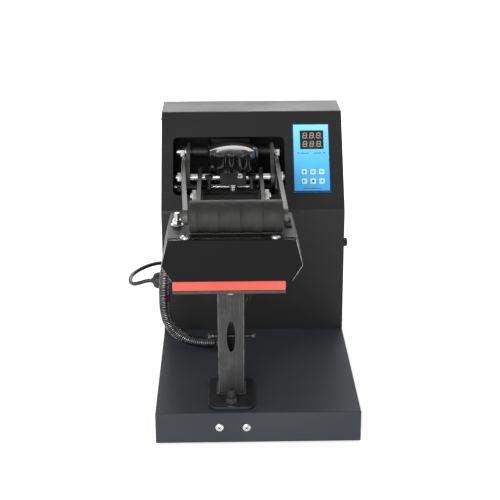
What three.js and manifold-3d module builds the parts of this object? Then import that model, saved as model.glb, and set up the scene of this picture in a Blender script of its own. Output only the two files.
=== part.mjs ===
// Small clamshell heat press: a flat heated platen on a hinged arm closes on a padded lower platen.
// Millimetres, +Z up, +Y to the back. The machine frame has X = 0 on the base's centre line,
// Y = 0 at the base's front face and Z = 0 on the table. The whole machine is shifted at the end,
// so that the origin is the centre of its footprint.
import * as THREE from 'three';
import { mergeVertices } from 'three/addons/utils/BufferGeometryUtils.js';
import Module from 'manifold-3d';

const wasm = await Module();
wasm.setup();

// ---- Driving dimensions -------------------------------------------------------------------
const GAP = 0.3; // clearance between pieces that touch
const SHEET = 1.5; // sheet metal of base and casing
const FOOT_HEIGHT = 3;
const FOOT_RADIUS = 10;
const FOOT_INSET = 24;

const BASE_WIDTH = 280;
const BASE_DEPTH = 457;
const BASE_HEIGHT = 44;
const BASE_TOP = FOOT_HEIGHT + BASE_HEIGHT;

const CASING_FRONT = 285.4; // Y of the casing's upright front
const CASING_RISE = 194.7; // upright part of the front
const SLOPE_RUN = 94.3;
const SLOPE_RISE = 133.4;
const BEND_Z = BASE_TOP + CASING_RISE;
const CASING_TOP = BEND_Z + SLOPE_RISE;
const SLOPE_TOP_Y = CASING_FRONT + SLOPE_RUN;

const WINDOW = { x0: -122, x1: 50, s0: 27, s1: 121.5, corner: 8 };
const PANEL = { x0: 62, x1: 120.5, s0: 29.5, s1: 142, depth: 38, bezel: 2.2 };

const PRESS_X = -34; // centre of the handle, arm and upper platen
const SCREW_OFFSET = 4; // the pressure screw stands off the press centre
const SCREW_X = PRESS_X + SCREW_OFFSET;
const LOWER_X = -38; // centre of the lower platen
const POST_X = -36;

const PIVOT_U = { y: 368, z: 314.2 }; // handle shaft
const PIVOT_R = { y: 318, z: 287 }; // crank pins
const PIVOT_P = { y: 380, z: 253.2 }; // arm shaft
const HANDLE_OPEN = 35; // degrees
const ARM_RATIO = 0.7; // arm degrees per handle degree

const SHAFT_RADIUS = 6;
const SHAFT_FIT = 0.3;
const CRANK_RADIUS = 5;
const CRANK_END_RADIUS = 4;
const NUT_RADIUS = 10;
const NUT_THICKNESS = 9.5;

const COLUMN = { half: 34, wall: 3, front: 352, back: 398, top: 328 };
const FRAME_BASE = { half: 82, front: 296, back: 440, thick: 6 };
const BRACKET = { inner: 70, thick: 5, front: 350, back: 410, above: 15 };

const EYE = { inner: 62, thick: 6 };
const ARM_BAR = { height: 21, rear: 346, leanStart: 290, leanRun: 250 };
const LEAN = { left: 11, right: 0 }; // how far each bar's front end leans to the right
const GRIP = { y: 40, z: 314, radius: 21.8, bar: 11 };

const EAR = { half: 49.5, thick: 6, top: 298 };
const CROSSBAR = { front: 309, back: 328, height: 15.1, hole: 4, holeX: 33 };
const SLOT_CLEARANCE = 0.6;
const BLOCK = { half: 20, front: 305, back: 331, low: 278, high: 299.5 };
const SCREW_RADIUS = 6;
const SCREW_TOP = 322;
const SWIVEL = { radius: 5.5, height: 4 };
const KNOB = { radius: 39.5, low: 302.3, rim: 330.4, top: 339.9, lobes: 9, scallop: 3.2 };

const PAD = { length: 150, width: 80, front: 22, thick: 12.9, plate: 4.5, top: 229.5 };
const HEATER = { thick: 14.2, board: 5.7, hanger: 4, hangerHalf: 76 };
const HOOD = { front: 12, back: 128, low: 233.5, belt: 255, top: 290.5 };
const HOOD_HALF = { low: 79.5, belt: 93, top: 84 };

const POST = { side: 36, wall: 3, front: 46 };
const POST_SLOT = { low: 116.5, high: 161.7, half: 5.8 };
const POST_FOOT = { x0: -68, x1: -4.7, front: 7.5, back: 100, thick: 5, corner: 12 };
const CROSS_PIN = { radius: 3, z: 133, x0: -67.6, x1: -2.8 };

const KEY = { size: 9, corner: 1.2, proud: 1.4, travel: 0.5 };
const KEYS_X = [79.5, 92.9, 106.3];
const KEYS_S = [62, 47];
const DISPLAY = { x0: 74.3, x1: 110.7, s0: 99.5, s1: 130.4 };

const FUSE = { y: 345, z: 170, radius: 7.5, proud: 11 };
const ROCKER = { y: 345, z: 126, length: 19, width: 13, depth: 3, high: 3.4, dip: 1.6, slack: 0.6 };
const GLAND = { y: 345, z: 108, radius: 12.5, length: 22 };
const CORD_RADIUS = 3.25;
const COIL = { x: -18, y: 508, outer: 46, inner: 26.5, height: 13 };
const PLUG = { x: 54, y: 490, length: 44, width: 27, height: 20 };
const HOSE_RADIUS = 8.2;

// Hand-chosen routes, in the machine frame.
const CORD_ROUTE = [
  [-162.9, 345, 108], [-172, 345.4, 106.6], [-181, 347.8, 103], [-189, 353.4, 99.2],
  [-195, 363, 96.6], [-198.6, 376.5, 95.6], [-199, 391.5, 95.6], [-195.8, 406.5, 96.2],
  [-188.5, 420.5, 97], [-178, 433.5, 98], [-166, 445, 98.3], [-153.5, 455.6, 96.6],
  [-141.5, 464.6, 91.4], [-130.6, 471.6, 81], [-120.6, 476.6, 66.4], [-111.6, 480.6, 49.4],
  [-103.4, 485, 32], [-95, 490.4, 17.2], [-86.2, 497, 7.9], [-77, 505, 3.9], [-67.2, 515.7, 3.35],
];
const HOSE_ROUTE = [
  [-100, 113, 262], [-103, 128, 260], [-107.5, 143, 254], [-113.5, 156, 244],
  [-120, 167.5, 228], [-125.5, 177, 208], [-130, 185, 185], [-133, 192, 160],
  [-134, 198, 137], [-133.6, 203, 115], [-129.4, 206.5, 94], [-117.4, 208.5, 75.2],
  [-98.6, 209.4, 62.8], [-79, 209.4, 58.4], [-61, 209.4, 58],
];

// ---- Helpers ------------------------------------------------------------------------------
function toSolid(geometry) {
  const bare = geometry.clone();
  bare.deleteAttribute('normal');
  bare.deleteAttribute('uv');
  const merged = mergeVertices(bare, 1e-4);
  return new wasm.Manifold(new wasm.Mesh({
    numProp: 3,
    vertProperties: new Float32Array(merged.attributes.position.array),
    triVerts: new Uint32Array(merged.index.array),
  }));
}

function toGeometry(solid) {
  const mesh = solid.getMesh();
  const geometry = new THREE.BufferGeometry();
  geometry.setAttribute('position', new THREE.BufferAttribute(mesh.vertProperties, 3));
  geometry.setIndex(new THREE.BufferAttribute(mesh.triVerts, 1));
  geometry.computeVertexNormals();
  return geometry;
}

function cut(base, ...tools) {
  return toGeometry(tools.reduce((solid, tool) => solid.subtract(toSolid(tool)), toSolid(base)));
}

function join(base, ...others) {
  return toGeometry(others.reduce((solid, other) => solid.add(toSolid(other)), toSolid(base)));
}

function intersect(first, second) {
  return toGeometry(toSolid(first).intersect(toSolid(second)));
}

function box(x0, x1, y0, y1, z0, z1) {
  const geometry = new THREE.BoxGeometry(x1 - x0, y1 - y0, z1 - z0);
  return geometry.translate((x0 + x1) / 2, (y0 + y1) / 2, (z0 + z1) / 2);
}

// Round bars along each axis; sides may be 6 for a hexagon.
function barX(y, z, radius, x0, x1, sides = 24) {
  const geometry = new THREE.CylinderGeometry(radius, radius, x1 - x0, sides);
  return geometry.rotateZ(-Math.PI / 2).translate((x0 + x1) / 2, y, z);
}

function barZ(x, y, radius, z0, z1, sides = 24) {
  const geometry = new THREE.CylinderGeometry(radius, radius, z1 - z0, sides);
  return geometry.rotateX(Math.PI / 2).translate(x, y, (z0 + z1) / 2);
}

const FROM_SIDE = new THREE.Matrix4().makeBasis(
  new THREE.Vector3(0, 1, 0), new THREE.Vector3(0, 0, 1), new THREE.Vector3(1, 0, 0));
const FROM_FRONT = new THREE.Matrix4().makeBasis(
  new THREE.Vector3(1, 0, 0), new THREE.Vector3(0, 0, 1), new THREE.Vector3(0, -1, 0));

// A plate whose outline is drawn in Y and Z, x0 to x1 thick.
function sidePlate(shape, x0, x1, curveSegments = 8) {
  const options = { depth: x1 - x0, bevelEnabled: false, curveSegments };
  return new THREE.ExtrudeGeometry(shape, options).applyMatrix4(FROM_SIDE).translate(x0, 0, 0);
}

// A plate whose outline is drawn in X and Z, y0 to y1 thick.
function frontPlate(shape, y0, y1, curveSegments = 8) {
  const options = { depth: y1 - y0, bevelEnabled: false, curveSegments };
  return new THREE.ExtrudeGeometry(shape, options).applyMatrix4(FROM_FRONT).translate(0, y1, 0);
}

function flatPlate(shape, z0, z1, curveSegments = 8) {
  const options = { depth: z1 - z0, bevelEnabled: false, curveSegments };
  return new THREE.ExtrudeGeometry(shape, options).translate(0, 0, z0);
}

function polygon(points) {
  return new THREE.Shape(points.map(([a, b]) => new THREE.Vector2(a, b)));
}

function roundedRect(x0, x1, y0, y1, r) {
  const shape = new THREE.Shape();
  shape.moveTo(x0 + r, y0);
  shape.lineTo(x1 - r, y0);
  shape.absarc(x1 - r, y0 + r, r, -Math.PI / 2, 0);
  shape.lineTo(x1, y1 - r);
  shape.absarc(x1 - r, y1 - r, r, 0, Math.PI / 2);
  shape.lineTo(x0 + r, y1);
  shape.absarc(x0 + r, y1 - r, r, Math.PI / 2, Math.PI);
  shape.lineTo(x0, y0 + r);
  shape.absarc(x0 + r, y0 + r, r, Math.PI, 1.5 * Math.PI);
  return shape;
}

// Points of a folded sheet's other face: the line moved to its right by the sheet's thickness.
function offsetLine(points, thickness) {
  const normals = points.slice(1).map(([x, y], i) => {
    const dx = x - points[i][0];
    const dy = y - points[i][1];
    const length = Math.hypot(dx, dy);
    return [dy / length, -dx / length];
  });
  return points.map(([x, y], i) => {
    const a = normals[Math.max(i - 1, 0)];
    const b = normals[Math.min(i, normals.length - 1)];
    const scale = thickness / (1 + a[0] * b[0] + a[1] * b[1]);
    return [x + (a[0] + b[0]) * scale, y + (a[1] + b[1]) * scale];
  });
}

function foldedSheet(points, thickness) {
  return polygon([...points, ...offsetLine(points, thickness).reverse()]);
}

function tubeAlong(points, radius, sides, steps) {
  const curve = new THREE.CatmullRomCurve3(points.map((p) => new THREE.Vector3(...p)), false, 'centripetal');
  const section = new THREE.Shape();
  for (let i = 0; i < sides; i += 1) {
    const angle = (2 * Math.PI * i) / sides;
    const place = [radius * Math.cos(angle), radius * Math.sin(angle)];
    if (i === 0) section.moveTo(...place);
    else section.lineTo(...place);
  }
  return new THREE.ExtrudeGeometry(section, { steps, bevelEnabled: false, extrudePath: curve });
}

// ---- Materials ----------------------------------------------------------------------------
const finish = (color, roughness, metalness) =>
  new THREE.MeshStandardMaterial({ color, roughness, metalness });
const BLACK_POWDER = finish(0x2b2c2e, 0.6, 0.2);
const BASE_POWDER = finish(0x3a3c3f, 0.6, 0.2);
const BLACK_STEEL = finish(0x1d1d1e, 0.55, 0.5);
const HANDLE_STEEL = finish(0x4a4b4a, 0.5, 0.6);
const ZINC = finish(0xc9cbcc, 0.3, 1);
const PLATE_STEEL = finish(0x49504b, 0.5, 0.6);
const ALUMINIUM = finish(0xa9abab, 0.45, 1);
const RED_SILICONE = finish(0xf2685c, 0.7, 0);
const GRIP_RUBBER = finish(0x3e3e3a, 0.8, 0);
const BLACK_RUBBER = finish(0x151515, 0.8, 0);
const GLOSS_BLACK = finish(0x0c0c0d, 0.15, 0);
const MATT_PLASTIC = finish(0x1a1a1b, 0.5, 0);
const PANEL_BLUE = finish(0x4fbdf2, 0.4, 0);
const KEY_WHITE = finish(0xc8f2fb, 0.4, 0);
const BOARD = finish(0xd8d2c0, 0.9, 0);

const machine = new THREE.Group();

function add(name, geometry, material, parent = machine) {
  const mesh = new THREE.Mesh(geometry, material);
  mesh.name = name;
  parent.add(mesh);
  return mesh;
}

// ---- Base ---------------------------------------------------------------------------------
const halfBase = BASE_WIDTH / 2;

function buildBase() {
  const outer = box(-halfBase, halfBase, 0, BASE_DEPTH, FOOT_HEIGHT, BASE_TOP);
  const inner = box(-halfBase + SHEET, halfBase - SHEET, SHEET, BASE_DEPTH - SHEET,
    FOOT_HEIGHT - 1, BASE_TOP - SHEET);
  add('base_tray', cut(outer, inner), BASE_POWDER);
  const edge = SHEET + GAP;
  add('base_bottom_plate', box(-halfBase + edge, halfBase - edge, edge, BASE_DEPTH - edge,
    FOOT_HEIGHT + GAP, FOOT_HEIGHT + GAP + SHEET), BLACK_POWDER);
  const places = [[-1, 0], [1, 0], [-1, 1], [1, 1]];
  places.forEach(([side, back], i) => {
    const x = side * (halfBase - FOOT_INSET);
    const y = back ? BASE_DEPTH - FOOT_INSET : FOOT_INSET;
    add(`rubber_foot_${i + 1}`, barZ(x, y, FOOT_RADIUS, 0, FOOT_HEIGHT, 16), BLACK_RUBBER);
  });
}

// ---- Casing -------------------------------------------------------------------------------
// Local frame of the sloped front: x across, y up the slope from the bend, z out of the face.
const slopeLength = Math.hypot(SLOPE_RUN, SLOPE_RISE);
const slopeUp = new THREE.Vector3(0, SLOPE_RUN / slopeLength, SLOPE_RISE / slopeLength);
const slopeOut = new THREE.Vector3(1, 0, 0).cross(slopeUp);
const SLOPE = new THREE.Matrix4().makeBasis(new THREE.Vector3(1, 0, 0), slopeUp, slopeOut)
  .setPosition(0, CASING_FRONT, BEND_Z);

function slopeGroup() {
  const group = new THREE.Group();
  group.applyMatrix4(SLOPE);
  machine.add(group);
  return group;
}

const casingLow = BASE_TOP + GAP;
const casingLine = [
  [CASING_FRONT, casingLow], [CASING_FRONT, BEND_Z],
  [SLOPE_TOP_Y, CASING_TOP], [BASE_DEPTH, CASING_TOP],
];

function buildCasing() {
  const wrap = sidePlate(foldedSheet(casingLine, SHEET), -halfBase, halfBase);
  const windowCut = flatPlate(
    roundedRect(WINDOW.x0, WINDOW.x1, WINDOW.s0, WINDOW.s1, WINDOW.corner), -6, 6, 4);
  windowCut.applyMatrix4(SLOPE);
  const panelCut = box(PANEL.x0 + 2, PANEL.x1 - 2, PANEL.s0 + 2, PANEL.s1 - 2, -6, 6);
  panelCut.applyMatrix4(SLOPE);
  add('casing_front', cut(wrap, windowCut, panelCut), BLACK_POWDER);

  const inner = offsetLine(casingLine, SHEET + GAP);
  const back = BASE_DEPTH;
  const sideShape = polygon([...inner.slice(0, 3), [back, inner[2][1]], [back, casingLow]]);
  add('casing_left', sidePlate(sideShape, -halfBase, -halfBase + SHEET), BLACK_POWDER);
  const right = sidePlate(sideShape, halfBase - SHEET, halfBase);
  const halfWidth = ROCKER.width / 2 + ROCKER.slack;
  const halfLength = ROCKER.length / 2 + ROCKER.slack;
  const switchHole = box(halfBase - 5, halfBase + 5, ROCKER.y - halfWidth, ROCKER.y + halfWidth,
    ROCKER.z - halfLength, ROCKER.z + halfLength);
  add('casing_right', cut(right, switchHole), BLACK_POWDER);
  const half = halfBase - SHEET - GAP;
  add('casing_back', box(-half, half, back - SHEET, back, casingLow, CASING_TOP - SHEET - GAP),
    BLACK_POWDER);
}

// ---- Fixed frame inside the casing --------------------------------------------------------
function buildFrame() {
  const plateTop = casingLow + FRAME_BASE.thick;
  add('frame_base', box(PRESS_X - FRAME_BASE.half, PRESS_X + FRAME_BASE.half,
    FRAME_BASE.front, FRAME_BASE.back, casingLow, plateTop), BLACK_STEEL);
  const low = plateTop + GAP;
  const holes = [PIVOT_U, PIVOT_P].map((p) =>
    barX(p.y, p.z, SHAFT_RADIUS + SHAFT_FIT, PRESS_X - 100, PRESS_X + 100));
  const column = cut(
    box(PRESS_X - COLUMN.half, PRESS_X + COLUMN.half, COLUMN.front, COLUMN.back, low, COLUMN.top),
    box(PRESS_X - COLUMN.half + COLUMN.wall, PRESS_X + COLUMN.half - COLUMN.wall,
      COLUMN.front - 1, COLUMN.back - COLUMN.wall, low - 1, COLUMN.top + 1),
    ...holes);
  add('frame_column', column, BLACK_STEEL);
  const bracketShape = polygon([
    [BRACKET.front - 20, low], [BRACKET.back + 20, low],
    [BRACKET.back - 12, PIVOT_P.z + BRACKET.above], [BRACKET.front + 12, PIVOT_P.z + BRACKET.above],
  ]);
  for (const [name, side] of [['left', -1], ['right', 1]]) {
    const near = PRESS_X + side * BRACKET.inner;
    const far = near + side * BRACKET.thick;
    const plate = sidePlate(bracketShape, Math.min(near, far), Math.max(near, far));
    add(`frame_bracket_${name}`, cut(plate, holes[1]), BLACK_STEEL);
  }
}

// A long bolt along X with its hexagon head on the right and its thread end on the left.
function buildShaft(name, pivot, stack) {
  const reach = stack + GAP + NUT_THICKNESS;
  const shank = barX(pivot.y, pivot.z, SHAFT_RADIUS, PRESS_X - reach - 6, PRESS_X + stack + 4);
  const head = barX(pivot.y, pivot.z, NUT_RADIUS, PRESS_X + stack + GAP, PRESS_X + reach, 6);
  add(name, join(shank, head), ZINC);
}

function buildSpacer(name, pivot, side, from, to) {
  const x0 = PRESS_X + side * from;
  const x1 = PRESS_X + side * to;
  const low = Math.min(x0, x1);
  const high = Math.max(x0, x1);
  const tube = barX(pivot.y, pivot.z, SHAFT_RADIUS + 2.6, low, high);
  const bore = barX(pivot.y, pivot.z, SHAFT_RADIUS + SHAFT_FIT, low - 1, high + 1);
  add(name, cut(tube, bore), BLACK_STEEL);
}

// ---- Handle -------------------------------------------------------------------------------
function capsule(a, b, radiusA, radiusB) {
  const angle = Math.atan2(b.z - a.z, b.y - a.y);
  const spread = Math.acos((radiusA - radiusB) / Math.hypot(b.z - a.z, b.y - a.y));
  const shape = new THREE.Shape();
  shape.absarc(a.y, a.z, radiusA, angle + spread, angle - spread + 2 * Math.PI);
  shape.absarc(b.y, b.z, radiusB, angle - spread, angle + spread);
  return shape;
}

const armOuter = EYE.inner + EYE.thick + GAP + EYE.thick;

const leanAt = (amount, y) => (amount * (ARM_BAR.leanStart - y)) / ARM_BAR.leanRun;

function lean(geometry, amount) {
  const position = geometry.attributes.position;
  for (let i = 0; i < position.count; i += 1) {
    position.setX(i, position.getX(i) + leanAt(amount, position.getY(i)));
  }
  return geometry;
}

function buildHandle() {
  const endHole = barX(PIVOT_R.y, PIVOT_R.z, CRANK_END_RADIUS + SHAFT_FIT, -200, 200);
  const shaftHole = barX(PIVOT_U.y, PIVOT_U.z, SHAFT_RADIUS + SHAFT_FIT, -200, 200);
  const half = ARM_BAR.height / 2;
  const rear = { y: ARM_BAR.rear, z: 301.5 };
  const slope = (GRIP.z - rear.z) / (rear.y - GRIP.y);
  const middleZ = (y) => rear.z + slope * (rear.y - y);
  const rearShape = polygon([
    [rear.y, rear.z - half], [rear.y, rear.z + half],
    [ARM_BAR.leanStart, middleZ(ARM_BAR.leanStart) + half],
    [ARM_BAR.leanStart, PIVOT_R.z - half], [PIVOT_R.y + 6, PIVOT_R.z - half],
  ].reverse());
  const frontStart = { y: ARM_BAR.leanStart + 2, z: middleZ(ARM_BAR.leanStart) };
  const frontShape = polygon([
    [frontStart.y, frontStart.z - half], [frontStart.y, frontStart.z + half],
    [GRIP.y, GRIP.z + half], [GRIP.y, GRIP.z - half],
  ].reverse());
  for (const [name, side] of [['left', -1], ['right', 1]]) {
    const inner = PRESS_X + side * EYE.inner;
    const outer = inner + side * EYE.thick;
    const eye = sidePlate(capsule(PIVOT_U, PIVOT_R, 15, 12),
      Math.min(inner, outer), Math.max(inner, outer), 8);
    add(`handle_eye_${name}`, cut(eye, endHole, shaftHole), BLACK_STEEL);
    const near = outer + side * GAP;
    const far = PRESS_X + side * armOuter;
    const x0 = Math.min(near, far);
    const x1 = Math.max(near, far);
    const front = lean(sidePlate(frontShape, x0, x1), LEAN[name]);
    const cap = barX(GRIP.y, GRIP.z, half, x0, x1, 20);
    cap.translate(leanAt(LEAN[name], GRIP.y), 0, 0);
    const arm = cut(join(sidePlate(rearShape, x0, x1), front, cap), endHole);
    add(`handle_arm_${name}`, arm, HANDLE_STEEL);
    buildCrankPin(name, side);
  }
  // Between the bars' inner faces, which are nearest each other at the front of the radius.
  const between = (radius) => {
    const inside = EYE.inner + EYE.thick - GAP;
    const near = (amount) => Math.max(leanAt(amount, GRIP.y - radius), leanAt(amount, GRIP.y + radius));
    return [PRESS_X - inside + near(LEAN.left), PRESS_X + inside - near(-LEAN.right)];
  };
  add('grip_bar', barX(GRIP.y, GRIP.z, GRIP.bar, ...between(GRIP.bar), 20), BLACK_STEEL);
  const sleeve = barX(GRIP.y, GRIP.z, GRIP.radius, ...between(GRIP.radius), 32);
  const bore = barX(GRIP.y, GRIP.z, GRIP.bar + GAP, -200, 200, 20);
  add('rubber_grip', cut(sleeve, bore), GRIP_RUBBER);
}

function buildCrankPin(name, side) {
  const place = (from, to, radius) => {
    const x0 = PRESS_X + side * from;
    const x1 = PRESS_X + side * to;
    return barX(PIVOT_R.y, PIVOT_R.z, radius, Math.min(x0, x1), Math.max(x0, x1));
  };
  const thick = place(SCREW_RADIUS + 3 + side * SCREW_OFFSET, EYE.inner - GAP, CRANK_RADIUS);
  const thin = place(EYE.inner - GAP - 1, armOuter + 9, CRANK_END_RADIUS);
  add(`crank_pin_${name}`, join(thick, thin), ZINC);
}

// ---- Trunnion block, pressure screw and knob ----------------------------------------------
function buildPressureScrew() {
  const block = cut(
    box(SCREW_X - BLOCK.half, SCREW_X + BLOCK.half, BLOCK.front, BLOCK.back, BLOCK.low, BLOCK.high),
    barX(PIVOT_R.y, PIVOT_R.z, CRANK_RADIUS + SHAFT_FIT, -200, 200),
    barZ(SCREW_X, PIVOT_R.y, SCREW_RADIUS + SHAFT_FIT, 200, 400));
  add('trunnion_block', block, BLACK_STEEL);
  const footLow = crossbarTop + 0.4;
  const footTop = footLow + SWIVEL.height;
  add('screw_foot', barZ(SCREW_X, PIVOT_R.y, SWIVEL.radius, footLow, footTop), ZINC);
  add('pressure_screw', barZ(SCREW_X, PIVOT_R.y, SCREW_RADIUS, footTop + GAP, SCREW_TOP), ZINC);
  const outline = new THREE.Shape();
  const steps = KNOB.lobes * 8;
  for (let i = 0; i < steps; i += 1) {
    const angle = (2 * Math.PI * i) / steps;
    const notch = Math.max(0, -Math.cos(KNOB.lobes * angle)) * KNOB.scallop;
    const r = KNOB.radius - notch;
    const place = [SCREW_X + r * Math.cos(angle), PIVOT_R.y + r * Math.sin(angle)];
    if (i === 0) outline.moveTo(...place);
    else outline.lineTo(...place);
  }
  const lobed = flatPlate(outline, KNOB.low, KNOB.top + 1);
  const dome = new THREE.LatheGeometry([
    [0, KNOB.low - 1], [KNOB.radius + 1, KNOB.low - 1], [KNOB.radius + 1, KNOB.rim - 3],
    [KNOB.radius - 2, KNOB.rim], [30, KNOB.rim + 5], [16, KNOB.top - 1.4], [0, KNOB.top],
  ].map(([r, z]) => new THREE.Vector2(r, z)), 36);
  dome.rotateX(Math.PI / 2).translate(SCREW_X, PIVOT_R.y, 0);
  const bore = barZ(SCREW_X, PIVOT_R.y, SCREW_RADIUS + GAP, KNOB.low - 1, SCREW_TOP + GAP);
  add('pressure_knob', cut(intersect(lobed, dome), bore), GLOSS_BLACK);
}

// ---- Hinged arm and upper platen ----------------------------------------------------------
const crossbarTop = 266.1;

// Where a crank pin stands in the arm's own frame when the handle is open by a share of its range.
function crankInArm(share) {
  const handle = new THREE.Vector2(PIVOT_R.y, PIVOT_R.z);
  handle.rotateAround(new THREE.Vector2(PIVOT_U.y, PIVOT_U.z),
    -THREE.MathUtils.degToRad(HANDLE_OPEN * share));
  handle.rotateAround(new THREE.Vector2(PIVOT_P.y, PIVOT_P.z),
    THREE.MathUtils.degToRad(HANDLE_OPEN * ARM_RATIO * share));
  return handle;
}

function slotShape(radius) {
  const path = [];
  for (let i = 0; i <= 6; i += 1) path.push(crankInArm(i / 6));
  const along = path[6].clone().sub(path[0]).normalize();
  const start = Math.atan2(-along.y, -along.x);
  const points = [];
  for (let i = 0; i <= 8; i += 1) {
    const a = start - Math.PI / 2 + (Math.PI * i) / 8;
    points.push([path[0].x + radius * Math.cos(a), path[0].y + radius * Math.sin(a)]);
  }
  const across = [-along.y, along.x];
  const upSide = path.slice(1, 6).map((p) => [p.x - radius * across[0], p.y - radius * across[1]]);
  const lowSide = path.slice(1, 6).map((p) => [p.x + radius * across[0], p.y + radius * across[1]]);
  points.push(...upSide);
  for (let i = 0; i <= 8; i += 1) {
    const a = start + Math.PI / 2 + (Math.PI * i) / 8;
    points.push([path[6].x + radius * Math.cos(a), path[6].y + radius * Math.sin(a)]);
  }
  points.push(...lowSide.reverse());
  return polygon(points);
}

const padTop = PAD.top;
const heaterLow = padTop + GAP;
const heaterTop = heaterLow + HEATER.thick;
const boardTop = heaterTop + GAP + HEATER.board;
const hangerTop = boardTop + GAP + HEATER.hanger;
const platenBack = PAD.front + PAD.width;

function buildArm() {
  const armLow = hangerTop + GAP;
  const eye = 14;
  const shape = new THREE.Shape();
  shape.moveTo(26, armLow);
  shape.lineTo(platenBack + 6, armLow);
  shape.lineTo(150, 267.5);
  shape.lineTo(305.5, 268);
  shape.lineTo(309, crossbarTop - CROSSBAR.height - 3);
  shape.lineTo(PIVOT_P.y, PIVOT_P.z - eye);
  shape.absarc(PIVOT_P.y, PIVOT_P.z, eye, -Math.PI / 2, Math.PI / 3);
  shape.lineTo(345, 284);
  shape.lineTo(334, EAR.top);
  shape.lineTo(240, EAR.top);
  shape.lineTo(150, 286.5);
  shape.lineTo(26, 286.5);
  const slot = sidePlate(slotShape(CRANK_RADIUS + SLOT_CLEARANCE), -200, 200);
  const shaftHole = barX(PIVOT_P.y, PIVOT_P.z, SHAFT_RADIUS + SHAFT_FIT, -200, 200);
  for (const [name, side] of [['left', -1], ['right', 1]]) {
    const outer = PRESS_X + side * EAR.half;
    const inner = outer - side * EAR.thick;
    const plate = sidePlate(shape, Math.min(inner, outer), Math.max(inner, outer));
    add(`arm_plate_${name}`, cut(plate, slot, shaftHole), BLACK_STEEL);
  }
  const half = EAR.half - EAR.thick - GAP;
  const crossbar = cut(
    box(PRESS_X - half, PRESS_X + half, CROSSBAR.front, CROSSBAR.back,
      crossbarTop - CROSSBAR.height, crossbarTop),
    barZ(PRESS_X - CROSSBAR.holeX, PIVOT_R.y, CROSSBAR.hole, 200, 300, 16),
    barZ(PRESS_X + CROSSBAR.holeX, PIVOT_R.y, CROSSBAR.hole, 200, 300, 16));
  add('arm_crossbar', crossbar, BLACK_STEEL);
}

function buildUpperPlaten() {
  const half = PAD.length / 2;
  add('heating_plate', box(PRESS_X - half, PRESS_X + half, PAD.front, platenBack,
    heaterLow, heaterTop), ALUMINIUM);
  add('insulation_board', box(PRESS_X - half, PRESS_X + half, PAD.front, platenBack,
    heaterTop + GAP, boardTop), BOARD);
  add('hanger_plate', box(PRESS_X - HEATER.hangerHalf, PRESS_X + HEATER.hangerHalf,
    PAD.front + 2, platenBack + 6, boardTop + GAP, hangerTop), BLACK_STEEL);
  const line = [
    [-HOOD_HALF.low, HOOD.low], [-HOOD_HALF.belt, HOOD.belt], [-HOOD_HALF.top, HOOD.top],
    [HOOD_HALF.top, HOOD.top], [HOOD_HALF.belt, HOOD.belt], [HOOD_HALF.low, HOOD.low],
  ].map(([x, z]) => [PRESS_X + x, z]);
  const hoodFront = HOOD.front + SHEET + GAP;
  add('platen_cover', frontPlate(foldedSheet(line, SHEET), hoodFront, HOOD.back), BLACK_POWDER);
  add('front_guard', frontPlate(polygon(line), HOOD.front, HOOD.front + SHEET), BLACK_POWDER);
}

// ---- Lower platen and post ----------------------------------------------------------------
function buildLowerPlaten() {
  const footTop = casingLow + POST_FOOT.thick;
  add('post_foot_plate', flatPlate(roundedRect(POST_FOOT.x0, POST_FOOT.x1, POST_FOOT.front,
    POST_FOOT.back, POST_FOOT.corner), casingLow, footTop, 4), BLACK_STEEL);
  const plateLow = padTop - PAD.thick - GAP - PAD.plate;
  const half = POST.side / 2;
  const inside = half - POST.wall;
  const middle = POST.front + half;
  const slotMiddle = (POST_SLOT.low + POST_SLOT.high) / 2;
  const ellipse = new THREE.Shape();
  ellipse.absellipse(POST_X, slotMiddle, POST_SLOT.half,
    (POST_SLOT.high - POST_SLOT.low) / 2, 0, 2 * Math.PI);
  const post = cut(
    box(POST_X - half, POST_X + half, POST.front, POST.front + POST.side,
      footTop + GAP, plateLow - GAP),
    box(POST_X - inside, POST_X + inside, middle - inside, middle + inside,
      footTop - 1, plateLow + 1),
    frontPlate(ellipse, POST.front - 1, POST.front + POST.wall + 1, 24),
    barX(middle, CROSS_PIN.z, CROSS_PIN.radius + SHAFT_FIT, POST_X - half - 1, POST_X + half + 1));
  add('platen_post', post, BLACK_STEEL);
  add('cross_pin', barX(middle, CROSS_PIN.z, CROSS_PIN.radius, CROSS_PIN.x0, CROSS_PIN.x1, 16),
    ZINC);
  const x0 = LOWER_X - PAD.length / 2;
  const x1 = LOWER_X + PAD.length / 2;
  add('lower_platen', box(x0, x1, PAD.front, platenBack, plateLow, plateLow + PAD.plate),
    PLATE_STEEL);
  add('silicone_pad', box(x0, x1, PAD.front, platenBack, padTop - PAD.thick, padTop),
    RED_SILICONE);
}

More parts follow.
